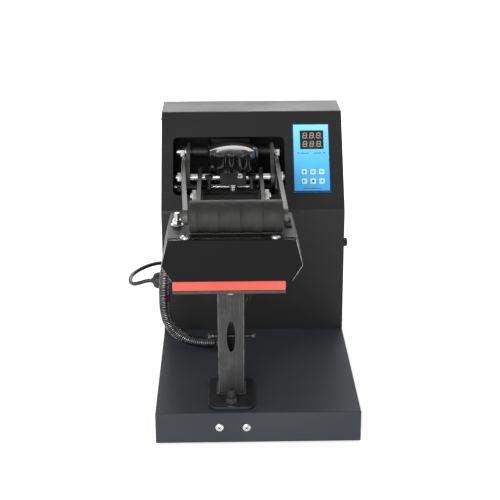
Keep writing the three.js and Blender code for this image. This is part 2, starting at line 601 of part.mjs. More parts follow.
// ---- Controller on the sloped face --------------------------------------------------------
function buildController() {
  const group = slopeGroup();
  const inset = 2 + GAP;
  add('controller_case', box(PANEL.x0 + inset, PANEL.x1 - inset, PANEL.s0 + inset,
    PANEL.s1 - inset, -PANEL.depth, 0), MATT_PLASTIC, group);
  const cuts = [box(DISPLAY.x0, DISPLAY.x1, DISPLAY.s0, DISPLAY.s1, -1, 6)];
  for (const s of KEYS_S) {
    for (const x of KEYS_X) {
      const r = KEY.size / 2 + GAP;
      cuts.push(box(x - r, x + r, s - r, s + r, -1, 6));
    }
  }
  const face = box(PANEL.x0, PANEL.x1, PANEL.s0, PANEL.s1, GAP, GAP + PANEL.bezel);
  add('controller_face', cut(face, ...cuts), PANEL_BLUE, group);
  const edge = GAP;
  add('display_window', box(DISPLAY.x0 + edge, DISPLAY.x1 - edge, DISPLAY.s0 + edge,
    DISPLAY.s1 - edge, GAP, PANEL.bezel), GLOSS_BLACK, group);
  let count = 1;
  for (const s of KEYS_S) {
    for (const x of KEYS_X) {
      const r = KEY.size / 2;
      const cap = flatPlate(roundedRect(x - r, x + r, s - r, s + r, KEY.corner),
        GAP + KEY.travel + 0.2, PANEL.bezel + KEY.proud, 2);
      add(`key_${count}`, cap, KEY_WHITE, group);
      count += 1;
    }
  }
}

// ---- Side fittings, cord and hose ---------------------------------------------------------
function buildFittings() {
  const fuse = barX(FUSE.y, FUSE.z, FUSE.radius, halfBase + GAP, halfBase + FUSE.proud, 20);
  add('fuse_cap', fuse, MATT_PLASTIC);
  const end = ROCKER.length / 2;
  const rocker = polygon([
    [-end, -ROCKER.depth], [end, -ROCKER.depth], [end, ROCKER.high],
    [0, ROCKER.dip], [-end, ROCKER.high - 1],
  ]);
  const rockerSolid = new THREE.ExtrudeGeometry(rocker,
    { depth: ROCKER.width, bevelEnabled: false });
  const stand = new THREE.Matrix4().makeBasis(
    new THREE.Vector3(0, 0, -1), new THREE.Vector3(1, 0, 0), new THREE.Vector3(0, -1, 0));
  rockerSolid.applyMatrix4(stand).translate(halfBase, ROCKER.y + ROCKER.width / 2, ROCKER.z);
  add('rocker_switch', rockerSolid, MATT_PLASTIC);

  const gland = new THREE.LatheGeometry([
    [0, 0], [GLAND.radius, 0], [GLAND.radius, 13.5], [GLAND.radius - 1.2, 16.4],
    [GLAND.radius - 4, 18.6], [5.6, 19.6], [4.6, GLAND.length], [0, GLAND.length],
  ].map(([r, z]) => new THREE.Vector2(r, z)), 20);
  gland.rotateZ(Math.PI / 2).translate(-halfBase - GAP, GLAND.y, GLAND.z);
  add('cord_gland', gland, MATT_PLASTIC);
  add('mains_cord', tubeAlong(CORD_ROUTE, CORD_RADIUS, 8, 60), BLACK_RUBBER);
  const coil = new THREE.LatheGeometry([
    [COIL.inner, 0.05], [COIL.outer, 0.05], [COIL.outer, COIL.height],
    [COIL.inner, COIL.height], [COIL.inner, 0.05],
  ].map(([r, z]) => new THREE.Vector2(r, z)), 32);
  coil.rotateX(Math.PI / 2).translate(COIL.x, COIL.y, 0);
  add('cord_coil', coil, BLACK_RUBBER);
  const half = PLUG.width / 2;
  add('mains_plug', flatPlate(roundedRect(PLUG.x - half, PLUG.x + half,
    PLUG.y - PLUG.length / 2, PLUG.y + PLUG.length / 2, 8), 0.05, PLUG.height, 4), MATT_PLASTIC);

  add('heater_hose', tubeAlong(HOSE_ROUTE, HOSE_RADIUS, 10, 40), BLACK_RUBBER);
  const glandZ = 58;
  const socket = barX(209, glandZ, 10.4, -57.5, -42, 20);
  const stem = barZ(-47, 209, 9.5, casingLow, glandZ, 20);
  add('hose_gland', join(socket, stem), MATT_PLASTIC);
}

buildBase();
buildCasing();
buildFrame();
const eyeOuter = EYE.inner + EYE.thick;
buildShaft('handle_shaft', PIVOT_U, eyeOuter);
buildShaft('arm_shaft', PIVOT_P, BRACKET.inner + BRACKET.thick);
buildSpacer('shaft_tube_left', PIVOT_U, -1, COLUMN.half + GAP, EYE.inner - GAP);
buildSpacer('shaft_tube_right', PIVOT_U, 1, COLUMN.half + GAP, EYE.inner - GAP);
buildHandle();
buildPressureScrew();
buildArm();
buildUpperPlaten();
buildLowerPlaten();
buildController();
buildFittings();

// The origin: the middle of the footprint without the cord, its coil, plug and gland, and the hose.
const LOOSE = ['cord_gland', 'mains_cord', 'cord_coil', 'mains_plug', 'heater_hose'];
machine.updateMatrixWorld(true);
const footprint = new THREE.Box3();
machine.traverse((object) => {
  if (object.isMesh && !LOOSE.includes(object.name)) {
    footprint.expandByObject(object, true);
  }
});
const middle = footprint.getCenter(new THREE.Vector3());
machine.position.set(-middle.x, -middle.y, -footprint.min.z);

export default machine;
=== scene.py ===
from math import atan2, cos, pi, radians, sin, sqrt

import bmesh
import bpy
from mathutils import Matrix, Vector


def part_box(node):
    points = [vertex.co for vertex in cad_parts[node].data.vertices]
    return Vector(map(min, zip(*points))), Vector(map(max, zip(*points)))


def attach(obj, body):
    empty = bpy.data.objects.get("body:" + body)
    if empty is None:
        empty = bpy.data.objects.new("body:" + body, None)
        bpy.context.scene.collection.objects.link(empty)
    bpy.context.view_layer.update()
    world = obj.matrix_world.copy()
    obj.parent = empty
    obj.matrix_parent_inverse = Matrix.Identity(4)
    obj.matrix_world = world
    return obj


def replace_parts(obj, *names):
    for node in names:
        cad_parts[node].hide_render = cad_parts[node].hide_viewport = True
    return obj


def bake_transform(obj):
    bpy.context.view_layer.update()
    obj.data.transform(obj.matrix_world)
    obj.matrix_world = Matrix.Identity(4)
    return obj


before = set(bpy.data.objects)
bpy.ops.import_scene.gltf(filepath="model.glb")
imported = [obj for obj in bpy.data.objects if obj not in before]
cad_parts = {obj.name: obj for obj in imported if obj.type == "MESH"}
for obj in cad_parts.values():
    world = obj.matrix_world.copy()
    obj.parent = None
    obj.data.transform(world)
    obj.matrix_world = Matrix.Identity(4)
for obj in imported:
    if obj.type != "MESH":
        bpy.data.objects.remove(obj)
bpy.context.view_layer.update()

# ---- Base tray ----
# The base is a shallow tray folded from 1.5 mm steel, welded at its corners and coated in a
# slate grey textured powder. Two pan-head screws in its front wall hold the wiring clamp inside.
TRAY_LOW, TRAY_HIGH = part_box("base_tray")
CENTRE_X = (TRAY_LOW.x + TRAY_HIGH.x) / 2


def at(x, y, z):
    """A place on the machine in millimetres, X from its middle and Y from its front face."""
    return Vector((CENTRE_X + x / 1000, TRAY_LOW.y + y / 1000, z / 1000))


def place_of(point):
    return Vector((point.x - CENTRE_X, point.y - TRAY_LOW.y, point.z)) * 1000


def box_of(node):
    """The low and high corners of a CAD piece, as places on the machine."""
    return [place_of(corner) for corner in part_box(node)]


class Finish:
    """A new material and the few node moves that every finish is made of."""

    def __init__(self, name, colour, rough, metal=0.0, **constants):
        self.material = bpy.data.materials.new(name)
        self.material.use_nodes = True
        self.tree = self.material.node_tree
        self.shader = self.tree.nodes["Principled BSDF"]
        self.shader.inputs["Base Color"].default_value = (*colour, 1)
        self.shader.inputs["Roughness"].default_value = rough
        self.shader.inputs["Metallic"].default_value = metal
        for socket, value in constants.items():
            self.shader.inputs[socket.replace("_", " ")].default_value = value
        self.place = self.tree.nodes.new("ShaderNodeTexCoord").outputs["Object"]

    def node(self, kind, **settings):
        made = self.tree.nodes.new("ShaderNode" + kind)
        for key, value in settings.items():
            if key in made.inputs:
                made.inputs[key].default_value = value
            else:
                setattr(made, key, value)
        return made

    def link(self, output, target):
        self.tree.links.new(output, target)

    def noise(self, scale, detail=3.0, stretch=None, rough=0.5):
        made = self.node("TexNoise", Scale=scale, Detail=detail, Roughness=rough)
        source = self.place
        if stretch:
            mapping = self.node("Mapping")
            mapping.inputs["Scale"].default_value = stretch
            self.link(source, mapping.inputs["Vector"])
            source = mapping.outputs["Vector"]
        self.link(source, made.inputs["Vector"])
        return made.outputs["Fac"]

    def ramp(self, value, stops):
        made = self.node("ValToRGB")
        elements = made.color_ramp.elements
        while len(elements) < len(stops):
            elements.new(0.5)
        for element, (where, colour) in zip(elements, stops):
            element.position = where
            element.color = (*colour, 1) if len(colour) == 3 else colour
        self.link(value, made.inputs["Fac"])
        return made.outputs["Color"]

    def mix(self, share, first, second):
        made = self.node("Mix", data_type="RGBA")
        self.link(share, made.inputs[0])
        for socket, value in ((made.inputs[6], first), (made.inputs[7], second)):
            if isinstance(value, tuple):
                socket.default_value = (*value, 1)
            else:
                self.link(value, socket)
        return made.outputs[2]

    def spread(self, value, low, high, start=0.3, end=0.7):
        made = self.node("MapRange")
        for key, number in (("From Min", start), ("From Max", end), ("To Min", low),
                            ("To Max", high)):
            made.inputs[key].default_value = number
        self.link(value, made.inputs["Value"])
        return made.outputs["Result"]

    def colour(self, output):
        self.link(output, self.shader.inputs["Base Color"])

    def roughness(self, output):
        self.link(output, self.shader.inputs["Roughness"])

    def bump(self, height, strength, depth):
        made = self.node("Bump", Strength=strength, Distance=depth)
        self.link(height, made.inputs["Height"])
        if self.shader.inputs["Normal"].is_linked:
            self.link(self.shader.inputs["Normal"].links[0].from_socket, made.inputs["Normal"])
        self.link(made.outputs["Normal"], self.shader.inputs["Normal"])


def powder_coat(name, colour, light=1.35, rough=0.42, gloss=0.3):
    """Textured powder paint: a fine pebbled skin, with faint dust and handling marks."""
    coat = Finish(name, colour, rough, Specular_IOR_Level=gloss)
    paler = tuple(c * light for c in colour)
    cloud = coat.noise(7, 5)
    grain = coat.noise(1500, 2)
    tone = coat.mix(coat.spread(cloud, 0, 1), colour, paler)
    coat.colour(coat.mix(coat.spread(grain, 0, 0.35), tone, tuple(c * 1.9 for c in colour)))
    coat.roughness(coat.spread(cloud, rough - 0.06, rough + 0.08))
    coat.bump(grain, 0.3, 0.0002)
    coat.bump(coat.noise(320, 2), 0.12, 0.0004)
    return coat.material


def finished(name, bm, body, finishes, smooth=40):
    """Closes a bmesh into a piece that rides on a body; finishes are its materials in order."""
    mesh = bpy.data.meshes.new(name)
    bm.to_mesh(mesh)
    bm.free()
    for finish in finishes if isinstance(finishes, list) else [finishes]:
        mesh.materials.append(finish)
    mesh.shade_smooth()
    mesh.set_sharp_from_angle(angle=radians(smooth))
    made = bpy.data.objects.new(name, mesh)
    bpy.context.scene.collection.objects.link(made)
    made.modifiers.new("even_shading", "WEIGHTED_NORMAL").keep_sharp = True
    if body:
        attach(made, body)
    return made


def round_edges(bm, edges, width, steps=2):
    """Rounds the given edges by a width in millimetres and returns the new faces."""
    return bmesh.ops.bevel(bm, geom=list(edges), offset=width / 1000, offset_type="OFFSET",
                           affect="EDGES", segments=steps, profile=0.5, material=-1,
                           clamp_overlap=True)["faces"]


def from_cad(node):
    """A merged copy of a CAD piece's mesh, to be worked on."""
    bm = bmesh.new()
    bm.from_mesh(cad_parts[node].data)
    bmesh.ops.remove_doubles(bm, verts=bm.verts, dist=2e-6)
    bmesh.ops.dissolve_limit(bm, angle_limit=radians(0.5), verts=bm.verts, edges=bm.edges)
    return bm


def sharp_edges(bm, angle=40, where=None):
    return [e for e in bm.edges if len(e.link_faces) == 2
            and e.calc_face_angle() > radians(angle)
            and (where is None or where(place_of((e.verts[0].co + e.verts[1].co) / 2)))]


def eased(node, body, finishes, width, steps=2, where=None, cut_face=None, worn=None,
          angle=40):
    """A CAD piece with its edges rounded. Faces for which cut_face says so get the second
    finish, and the rounded edges get the finish numbered worn."""
    bm = from_cad(node)
    if cut_face:
        for face in bm.faces:
            if cut_face(face.normal, place_of(face.calc_center_median())):
                face.material_index = 1
    for face in round_edges(bm, sharp_edges(bm, angle, where), width, steps):
        if worn is not None:
            face.material_index = worn
    made = finished(node + "_eased", bm, body, finishes)
    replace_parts(made, node)
    return made


def block(bm, low, high, width=0, steps=2):
    """Adds a block between two corners, with its edges rounded by a width."""
    a, b = at(*low), at(*high)
    size = b - a
    verts = bmesh.ops.create_cube(bm, size=1, matrix=Matrix.Translation((a + b) / 2)
                                  @ Matrix.Diagonal((*size, 1)))["verts"]
    if width:
        round_edges(bm, {e for v in verts for e in v.link_edges}, width, steps)


def bar(bm, start, end, radius, sides=28, tip=None, width=0):
    """Adds a round bar, or with six sides a hexagon, between two places."""
    a, b = at(*start), at(*end)
    turn = (b - a).to_track_quat("Z", "Y").to_matrix().to_4x4()
    verts = bmesh.ops.create_cone(
        bm, cap_ends=True, cap_tris=False, segments=sides, radius1=radius / 1000,
        radius2=(radius if tip is None else tip) / 1000, depth=(b - a).length,
        matrix=Matrix.Translation((a + b) / 2) @ turn)["verts"]
    if width:
        ends = {e for v in verts for e in v.link_edges if e.is_valid}
        rims = [e for e in ends if e.calc_face_angle(0) > radians(50)]
        round_edges(bm, rims, width)
    return verts


def turned(bm, foot, toward, profile, sides=32):
    """Adds a shape turned on a lathe about the line from foot to toward. The profile is
    pairs of distance along it and radius, starting and ending on the line."""
    a = at(*foot)
    axis = (at(*toward) - a).normalized()
    side = axis.orthogonal().normalized()
    verts = [bm.verts.new(a + (axis * along + side * radius) / 1000) for along, radius in profile]
    edges = [bm.edges.new(pair) for pair in zip(verts, verts[1:])]
    before = set(bm.verts) - set(verts)
    bmesh.ops.spin(bm, geom=verts + edges, cent=a, axis=axis, angle=2 * pi, steps=sides,
                   use_merge=True)
    made = [v for v in bm.verts if v not in before]
    bmesh.ops.remove_doubles(bm, verts=made, dist=1e-6)
    made = [v for v in bm.verts if v not in before]
    bmesh.ops.recalc_face_normals(bm, faces=list({f for v in made for f in v.link_faces}))


def cross_screw(bm, foot, toward, radius, height):
    """Adds a pan-head screw's head. Its cross recess is a thin cross in the second finish, which
    is painted shade.
    """
    a = at(*foot)
    axis = (at(*toward) - a).normalized()
    turned(bm, foot, toward, [(0, 0), (0, radius), (height * 0.3, radius),
                              (height * 0.7, radius * 0.86), (height * 0.93, radius * 0.55),
                              (height, radius * 0.24), (height, 0)], 24)
    first = axis.orthogonal().normalized()
    for arm in (first, axis.cross(first)):
        turn = Matrix((arm, axis.cross(arm), axis)).transposed().to_4x4()
        verts = bmesh.ops.create_cube(bm, size=1, matrix=Matrix.Translation(
            a + axis * height * 0.972 / 1000) @ turn
            @ Matrix.Diagonal((radius * 0.9 / 1000, radius * 0.17 / 1000, height * 0.1 / 1000, 1))
        )["verts"]
        for face in {f for v in verts for f in v.link_faces}:
            face.material_index = 1


BASE_GREY = powder_coat("slate_powder", (0.033, 0.0355, 0.041), rough=0.42, gloss=0.06)
eased("base_tray", "machine", BASE_GREY, 1.3, steps=3,
      where=lambda p: p.z > 4 and (abs(p.x) > 139.9 or p.y < 0.1 or p.y > 456.9 or p.z > 46.9))

bright = Finish("bright_zinc", (0.72, 0.73, 0.74), 0.3, 1.0)
bright.roughness(bright.spread(bright.noise(260, 3), 0.2, 0.42))
bright.colour(bright.ramp(bright.noise(90, 4), [(0.3, (0.55, 0.56, 0.56)),
                                                (0.7, (0.8, 0.8, 0.8))]))
bright.bump(bright.noise(700, 2), 0.15, 0.0001)
BRIGHT_ZINC = bright.material
# Near-black painted shade, standing for the shade inside the screw cross recesses and the cover's
# slot.
shade = Finish("painted_recess_shade", (0.004, 0.004, 0.004), 0.9)
shade.roughness(shade.spread(shade.noise(500), 0.8, 1.0))
PAINTED_RECESS_SHADE = shade.material

bm = bmesh.new()
for x, z in ((-53, 25.5), (-16, 25)):
    cross_screw(bm, (x, 0.05, z), (x, -4, z), 5.6, 2.3)
finished("base_front_screws", bm, "machine", [BRIGHT_ZINC, PAINTED_RECESS_SHADE])

# ---- Base plate and feet ----
# A flat sheet closes the tray from below, and four round rubber feet are screwed through it.
BLACK_COAT = powder_coat("black_powder", (0.0105, 0.0107, 0.0112), rough=0.45, gloss=0.28)
eased("base_bottom_plate", "machine", BLACK_COAT, 0.3, steps=1)

rubber = Finish("foot_rubber", (0.012, 0.012, 0.012), 0.75)
rubber.colour(rubber.ramp(rubber.noise(60, 4), [(0.3, (0.008, 0.008, 0.008)),
                                                (0.75, (0.02, 0.02, 0.019))]))
rubber.roughness(rubber.spread(rubber.noise(180), 0.62, 0.85))
rubber.bump(rubber.noise(900, 2), 0.25, 0.0002)
BLACK_RUBBER = rubber.material
for number in range(1, 5):
    low, high = box_of(f"rubber_foot_{number}")
    x, y = (low.x + high.x) / 2, (low.y + high.y) / 2
    bm = bmesh.new()
    turned(bm, (x, y, low.z), (x, y, high.z), [
        (0, 0), (0.8, 3.4), (0, 4), (0, 8.8), (0.5, 9.6), (2.2, 10), (3, 9.9), (3, 0)], 36)
    foot = finished(f"foot_{number}", bm, "machine", BLACK_RUBBER)
    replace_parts(foot, f"rubber_foot_{number}")

# ---- Casing ----
# One wide sheet is folded into the upright front, the sloping face and the top, and two side
# sheets and a back sheet close it. The sloping face has a window for the press mechanism.
bm = from_cad("casing_front")
bends = [e for e in bm.edges if radians(20) < e.calc_face_angle(0) < radians(70)
         and abs(e.verts[0].co.x - e.verts[1].co.x) > 0.2]
round_edges(bm, bends, 3.5, 4)
round_edges(bm, sharp_edges(bm, 75), 0.4)
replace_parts(finished("casing_wrap", bm, "machine", BLACK_COAT), "casing_front")
for side in ("left", "right", "back"):
    eased(f"casing_{side}", "machine", BLACK_COAT, 0.4)

bm = bmesh.new()
for x in (-128, -64, 0, 64, 128):
    for z in (56, 366):
        cross_screw(bm, (x, 457.02, z), (x, 460, z), 3.6, 1.6)
for side in (-1, 1):
    for y, z in ((300, 56), (446, 56), (446, 200), (446, 362), (392, 362)):
        cross_screw(bm, (side * 140.02, y, z), (side * 142, y, z), 3.6, 1.6)
dark_screw = Finish("blackened_screw", (0.05, 0.05, 0.052), 0.4, 0.8)
dark_screw.roughness(dark_screw.spread(dark_screw.noise(300), 0.3, 0.5))
BLACKENED = dark_screw.material
finished("casing_screws", bm, "machine", [BLACKENED, PAINTED_RECESS_SHADE])

# ---- Fixed frame ----
# Behind the window a thick base plate carries a folded column and two tapered brackets of
# painted steel. They hold the two shafts that the handle and the arm turn on.
steel = Finish("painted_steel", (0.012, 0.012, 0.0125), 0.5, 0.25)
blotch = steel.noise(38, 6, rough=0.65)
steel.colour(steel.ramp(blotch, [(0.35, (0.008, 0.008, 0.0085)), (0.62, (0.017, 0.017, 0.0175)),
                                 (0.78, (0.034, 0.034, 0.034))]))
steel.roughness(steel.spread(blotch, 0.36, 0.6))
steel.bump(steel.noise(600, 3), 0.2, 0.0002)
BLACK_STEEL = steel.material

bare = Finish("worn_steel", (0.16, 0.16, 0.155), 0.42, 0.7)
rub = bare.noise(75, 6, rough=0.7)
bare.colour(bare.ramp(rub, [(0.34, (0.055, 0.055, 0.053)), (0.55, (0.15, 0.15, 0.145)),
                            (0.75, (0.3, 0.3, 0.29))]))
bare.roughness(bare.spread(rub, 0.32, 0.55))
bare.bump(bare.noise(900, 2), 0.2, 0.0001)
WORN_STEEL = bare.material

for node in ("frame_base", "frame_column", "frame_bracket_left", "frame_bracket_right"):
    eased(node, "machine", BLACK_STEEL, 0.7)

# ---- Shafts ----
# The handle and the arm each turn on a long zinc-plated M12 bolt. Its hexagon head is on the
# right and its nut on the left, with black spacer tubes between the column and the handle eyes.


def hexagon(bm, start, end, corners):
    """Adds a bolt head or nut body whose corners are turned off at both ends."""
    verts = bar(bm, start, end, corners, sides=6)
    ends = {f for v in verts for f in v.link_faces if len(f.verts) == 6}
    round_edges(bm, {e for f in ends for e in f.edges}, 0.9, 3)


def thread(bm, start, end, radius, pitch=1.5):
    """Adds a threaded length as a stack of rounded ridges with a turned-down point."""
    length = (at(*end) - at(*start)).length * 1000
    profile = [(0, 0), (0, radius * 0.9)]
    for i in range(int(length / pitch)):
        profile += [(pitch * (i + 0.15), radius * 0.9), (pitch * (i + 0.45), radius),
                    (pitch * (i + 0.65), radius), (pitch * (i + 0.95), radius * 0.9)]
    profile += [(length, radius * 0.82), (length, 0)]
    turned(bm, start, end, profile, 28)


def washer(bm, start, end, radius, hole):
    """Adds a flat washer."""
    thick = (at(*end) - at(*start)).length * 1000
    turned(bm, start, end, [(0.15, hole), (0, hole + 0.3), (0, radius - 0.4),
                            (thick * 0.3, radius), (thick * 0.7, radius),
                            (thick, radius - 0.4), (thick, hole + 0.3), (0.15, hole)])


def pivot_bolt(node, thickness=9.5):
    """A shaft between the frame's walls: bolt, head, nut and washers, standing for its CAD."""
    low, high = box_of(node)
    y, z = (low.y + high.y) / 2, (low.z + high.z) / 2
    head = high.x - thickness
    nut = 2 * PRESS_X - high.x
    bm = bmesh.new()
    bar(bm, (nut - 1, y, z), (head + 1, y, z), 6)
    hexagon(bm, (head + 1.3, y, z), (high.x, y, z), 10)
    washer(bm, (head, y, z), (head + 1.3, y, z), 10.4, 6.1)
    hexagon(bm, (nut, y, z), (nut + thickness - 1.3, y, z), 10)
    washer(bm, (nut + thickness - 1.3, y, z), (nut + thickness, y, z), 10.4, 6.1)
    thread(bm, (nut + 0.5, y, z), (low.x, y, z), 6)
    made = finished(node + "_bolt", bm, "machine", BRIGHT_ZINC)
    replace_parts(made, node)


plates = box_of("arm_plate_left") + box_of("arm_plate_right")
PRESS_X = (min(p.x for p in plates) + max(p.x for p in plates)) / 2
block_low, block_high = box_of("trunnion_block")
SCREW_X = (block_low.x + block_high.x) / 2
BLOCK_HALF = (block_high.x - block_low.x) / 2
pivot_bolt("handle_shaft")
pivot_bolt("arm_shaft")
for side in ("left", "right"):
    eased(f"shaft_tube_{side}", "machine", BLACK_STEEL, 0.5)
arm_low, arm_high = box_of("arm_shaft")
y, z = (arm_low.y + arm_high.y) / 2, (arm_low.z + arm_high.z) / 2
ARM_SPACERS = ((34.2, 43.2), (49.8, 69.8))
bm = bmesh.new()
for side in (-1, 1):
    for start, end in ARM_SPACERS:
        bar(bm, (PRESS_X + side * start, y, z), (PRESS_X + side * end, y, z), 8.6, width=0.5)
finished("arm_shaft_spacers", bm, "machine", BLACK_STEEL)

# ---- Handle ----
# Two flat steel bars run forward from the eyes on the handle shaft to the grip. They are
# painted, but their cut edges are worn grey. Zinc crank pins join each eye to its bar.


def narrow_side(normal, place):
    return abs(normal.x) < 0.6


# Streaked grey edge metal: real wear on cut edges, and a painted highlight on the post's corners.
edge_wear_and_highlight_finish = Finish("edge_wear_and_highlight", (0.1, 0.1, 0.096), 0.45, 0.5)
streak = edge_wear_and_highlight_finish.noise(1, 5, stretch=(160, 18, 90), rough=0.6)
edge_wear_and_highlight_finish.colour(edge_wear_and_highlight_finish.ramp(streak, [
    (0.32, (0.038, 0.038, 0.036)), (0.5, (0.085, 0.085, 0.08)), (0.72, (0.16, 0.16, 0.15))]))
edge_wear_and_highlight_finish.roughness(edge_wear_and_highlight_finish.spread(streak, 0.36, 0.6))
edge_wear_and_highlight_finish.bump(edge_wear_and_highlight_finish.noise(700, 2), 0.2, 0.0001)
EDGE_WEAR_AND_HIGHLIGHT = edge_wear_and_highlight_finish.material

BAR_OUTER = 74.3
for side in ("left", "right"):
    eased(f"handle_eye_{side}", "handle", [BLACK_STEEL, EDGE_WEAR_AND_HIGHLIGHT], 0.6,
          cut_face=narrow_side)
    eased(f"handle_arm_{side}", "handle", [BLACK_STEEL, EDGE_WEAR_AND_HIGHLIGHT, WORN_STEEL],
          0.6, cut_face=narrow_side, worn=2)
    sign = -1 if side == "left" else 1
    low, high = box_of(f"crank_pin_{side}")
    y, z = (low.y + high.y) / 2, (low.z + high.z) / 2
    inner, outer = sorted((low.x, high.x), key=lambda x: abs(x - PRESS_X))
    bar_outside = PRESS_X + sign * BAR_OUTER
    bm = bmesh.new()
    bar(bm, (inner, y, z), (PRESS_X + sign * 61.7, y, z), 5, width=0.5)
    bar(bm, (PRESS_X + sign * 61, y, z), (bar_outside + sign * 2, y, z), 4)
    block_side = SCREW_X + sign * BLOCK_HALF
    for start, end in ((block_side + sign * 0.4, PRESS_X + sign * 43),
                       (PRESS_X + sign * 50, PRESS_X + sign * 61.4)):
        bar(bm, (start, y, z), (end, y, z), 5.9, width=0.5)
    washer(bm, (bar_outside + sign * 0.05, y, z), (bar_outside + sign * 1.2, y, z), 8, 4.1)
    hexagon(bm, (bar_outside + sign * 1.2, y, z), (bar_outside + sign * 6.8, y, z), 7.6)
    thread(bm, (bar_outside + sign * 1.5, y, z), (outer, y, z), 4, 1.25)
    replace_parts(finished(f"crank_pin_{side}_turned", bm, "handle", BRIGHT_ZINC),
                f"crank_pin_{side}")

# ---- Grip ----
# A steel bar joins the ends of the handle. A moulded rubber sleeve with raised bands and
# sunken panels on its front is pushed over it.
eased("grip_bar", "handle", BLACK_STEEL, 0.8)

grip = Finish("grip_rubber", (0.017, 0.017, 0.0155), 0.6, Specular_IOR_Level=0.35)
dust = grip.noise(30, 6, rough=0.65)
grip.colour(grip.ramp(dust, [(0.3, (0.011, 0.011, 0.0098)), (0.55, (0.018, 0.018, 0.0162)),
                             (0.8, (0.033, 0.0325, 0.03))]))
grip.roughness(grip.spread(dust, 0.5, 0.72))
grip.bump(grip.noise(420, 4), 0.35, 0.0004)
GRIP_RUBBER = grip.material

low, high = box_of("rubber_grip")
grip_y, grip_z = (low.y + high.y) / 2, (low.z + high.z) / 2
GRIP_RADIUS = (high.z - low.z) / 2
PANELS = 4
BAND = 11.5
PANEL = (high.x - low.x - BAND * (PANELS + 1) + 2) / PANELS
SUNK = 1.7
bm = bmesh.new()
profile = [(0, 11.3), (0.2, GRIP_RADIUS - 2.6), (1, GRIP_RADIUS - 1.1), (2.6, GRIP_RADIUS - 0.2)]
mark = BAND - 1
for i in range(PANELS):
    profile += [(mark - 1.2, GRIP_RADIUS), (mark, GRIP_RADIUS), (mark + 1.6, GRIP_RADIUS),
                (mark + PANEL / 2, GRIP_RADIUS), (mark + PANEL - 1.6, GRIP_RADIUS),
                (mark + PANEL, GRIP_RADIUS), (mark + PANEL + 1.2, GRIP_RADIUS)]
    mark += PANEL + BAND
length = high.x - low.x
profile += [(length - 2.6, GRIP_RADIUS - 0.2), (length - 1, GRIP_RADIUS - 1.1),
            (length - 0.2, GRIP_RADIUS - 2.6), (length, 11.3), (0, 11.3)]
turned(bm, (low.x, grip_y, grip_z), (high.x, grip_y, grip_z), profile, 72)
mark = BAND - 1
for i in range(PANELS):
    for vert in bm.verts:
        place = place_of(vert.co) - Vector((low.x, grip_y, grip_z))
        depth = min(place.x - mark, mark + PANEL - place.x)
        radius = sqrt(place.y ** 2 + place.z ** 2)
        if depth < 0.5 or radius < GRIP_RADIUS - 0.5:
            continue
        turn = atan2(place.z, -place.y)
        inside = min(turn - radians(-78), radians(66) - turn) * GRIP_RADIUS
        drop = SUNK * min(max(inside / 2.2, 0), 1)
        shrink = (radius - drop) / radius
        vert.co = at(low.x + place.x, grip_y + place.y * shrink, grip_z + place.z * shrink)
    mark += PANEL + BAND
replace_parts(finished("grip_sleeve", bm, "handle", GRIP_RUBBER, smooth=50),
            "rubber_grip")

# ---- Trunnion block and pressure screw ----
# A black steel block hangs on the crank pins and stays upright. The pressure screw runs through
# it to a swivel foot over the arm's crossbar. A set screw and two guide bolts stand beside it.
eased("trunnion_block", "trunnion", [BLACK_STEEL, WORN_STEEL], 1.1, worn=0)

SET_SCREW_X, SET_SCREW_Z = SCREW_X + 11, 292.5
bm = bmesh.new()
turned(bm, (SET_SCREW_X, block_low.y - 0.05, SET_SCREW_Z),
       (SET_SCREW_X, block_low.y - 5, SET_SCREW_Z),
       [(0, 0), (0, 4.2), (0.8, 4.2), (1.1, 3.7), (1.1, 2.4), (0.2, 2.3), (0.2, 0)], 24)
finished("block_set_screw", bm, "trunnion", BRIGHT_ZINC)
GUIDE_OUT, GUIDE_Y = 33, 308.2
bm = bmesh.new()
for side in (-1, 1):
    x = PRESS_X + side * GUIDE_OUT
    turned(bm, (x, GUIDE_Y, 271.5), (x, GUIDE_Y, 300), [
        (0, 0), (0, 3.2), (0.6, 3.7), (16.6, 3.7), (16.6, 5.4), (17.2, 6), (20.6, 6),
        (21.2, 5.4), (21.2, 2.6), (18.8, 2.4), (18.8, 0)], 24)
    bar(bm, (x, GUIDE_Y, 287), (x, GUIDE_Y + 5.2, 287), 3)
finished("guide_bolts", bm, "trunnion", BLACKENED)

SCREW_Y = (block_low.y + block_high.y) / 2
foot_low, foot_high = box_of("screw_foot")
bm = bmesh.new()
turned(bm, (SCREW_X, SCREW_Y, foot_low.z), (SCREW_X, SCREW_Y, foot_high.z), [
    (0, 0), (0, 4.9), (0.5, 5.5), (2.6, 5.5), (3.4, 4.6), (foot_high.z - foot_low.z, 4.2),
    (foot_high.z - foot_low.z, 0)], 32)
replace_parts(finished("swivel_foot_turned", bm, "swivel_foot", BRIGHT_ZINC), "screw_foot")
screw_low, screw_high = box_of("pressure_screw")
bm = bmesh.new()
thread(bm, (SCREW_X, SCREW_Y, screw_low.z), (SCREW_X, SCREW_Y, screw_high.z), 6, 1.75)
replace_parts(finished("pressure_screw_thread", bm, "knob", BRIGHT_ZINC), "pressure_screw")

# ---- Knob ----
# The pressure knob is a lobed moulding in glossy black plastic, pressed onto the screw. Its
# top is a smooth shallow dome and its rim is scalloped for the fingers.
gloss = Finish("gloss_black", (0.006, 0.006, 0.0065), 0.12, Coat_Weight=0.6, Coat_Roughness=0.06)
gloss.roughness(gloss.spread(gloss.noise(45, 4), 0.1, 0.24))
gloss.bump(gloss.noise(60, 2), 0.05, 0.0003)
GLOSS_BLACK = gloss.material

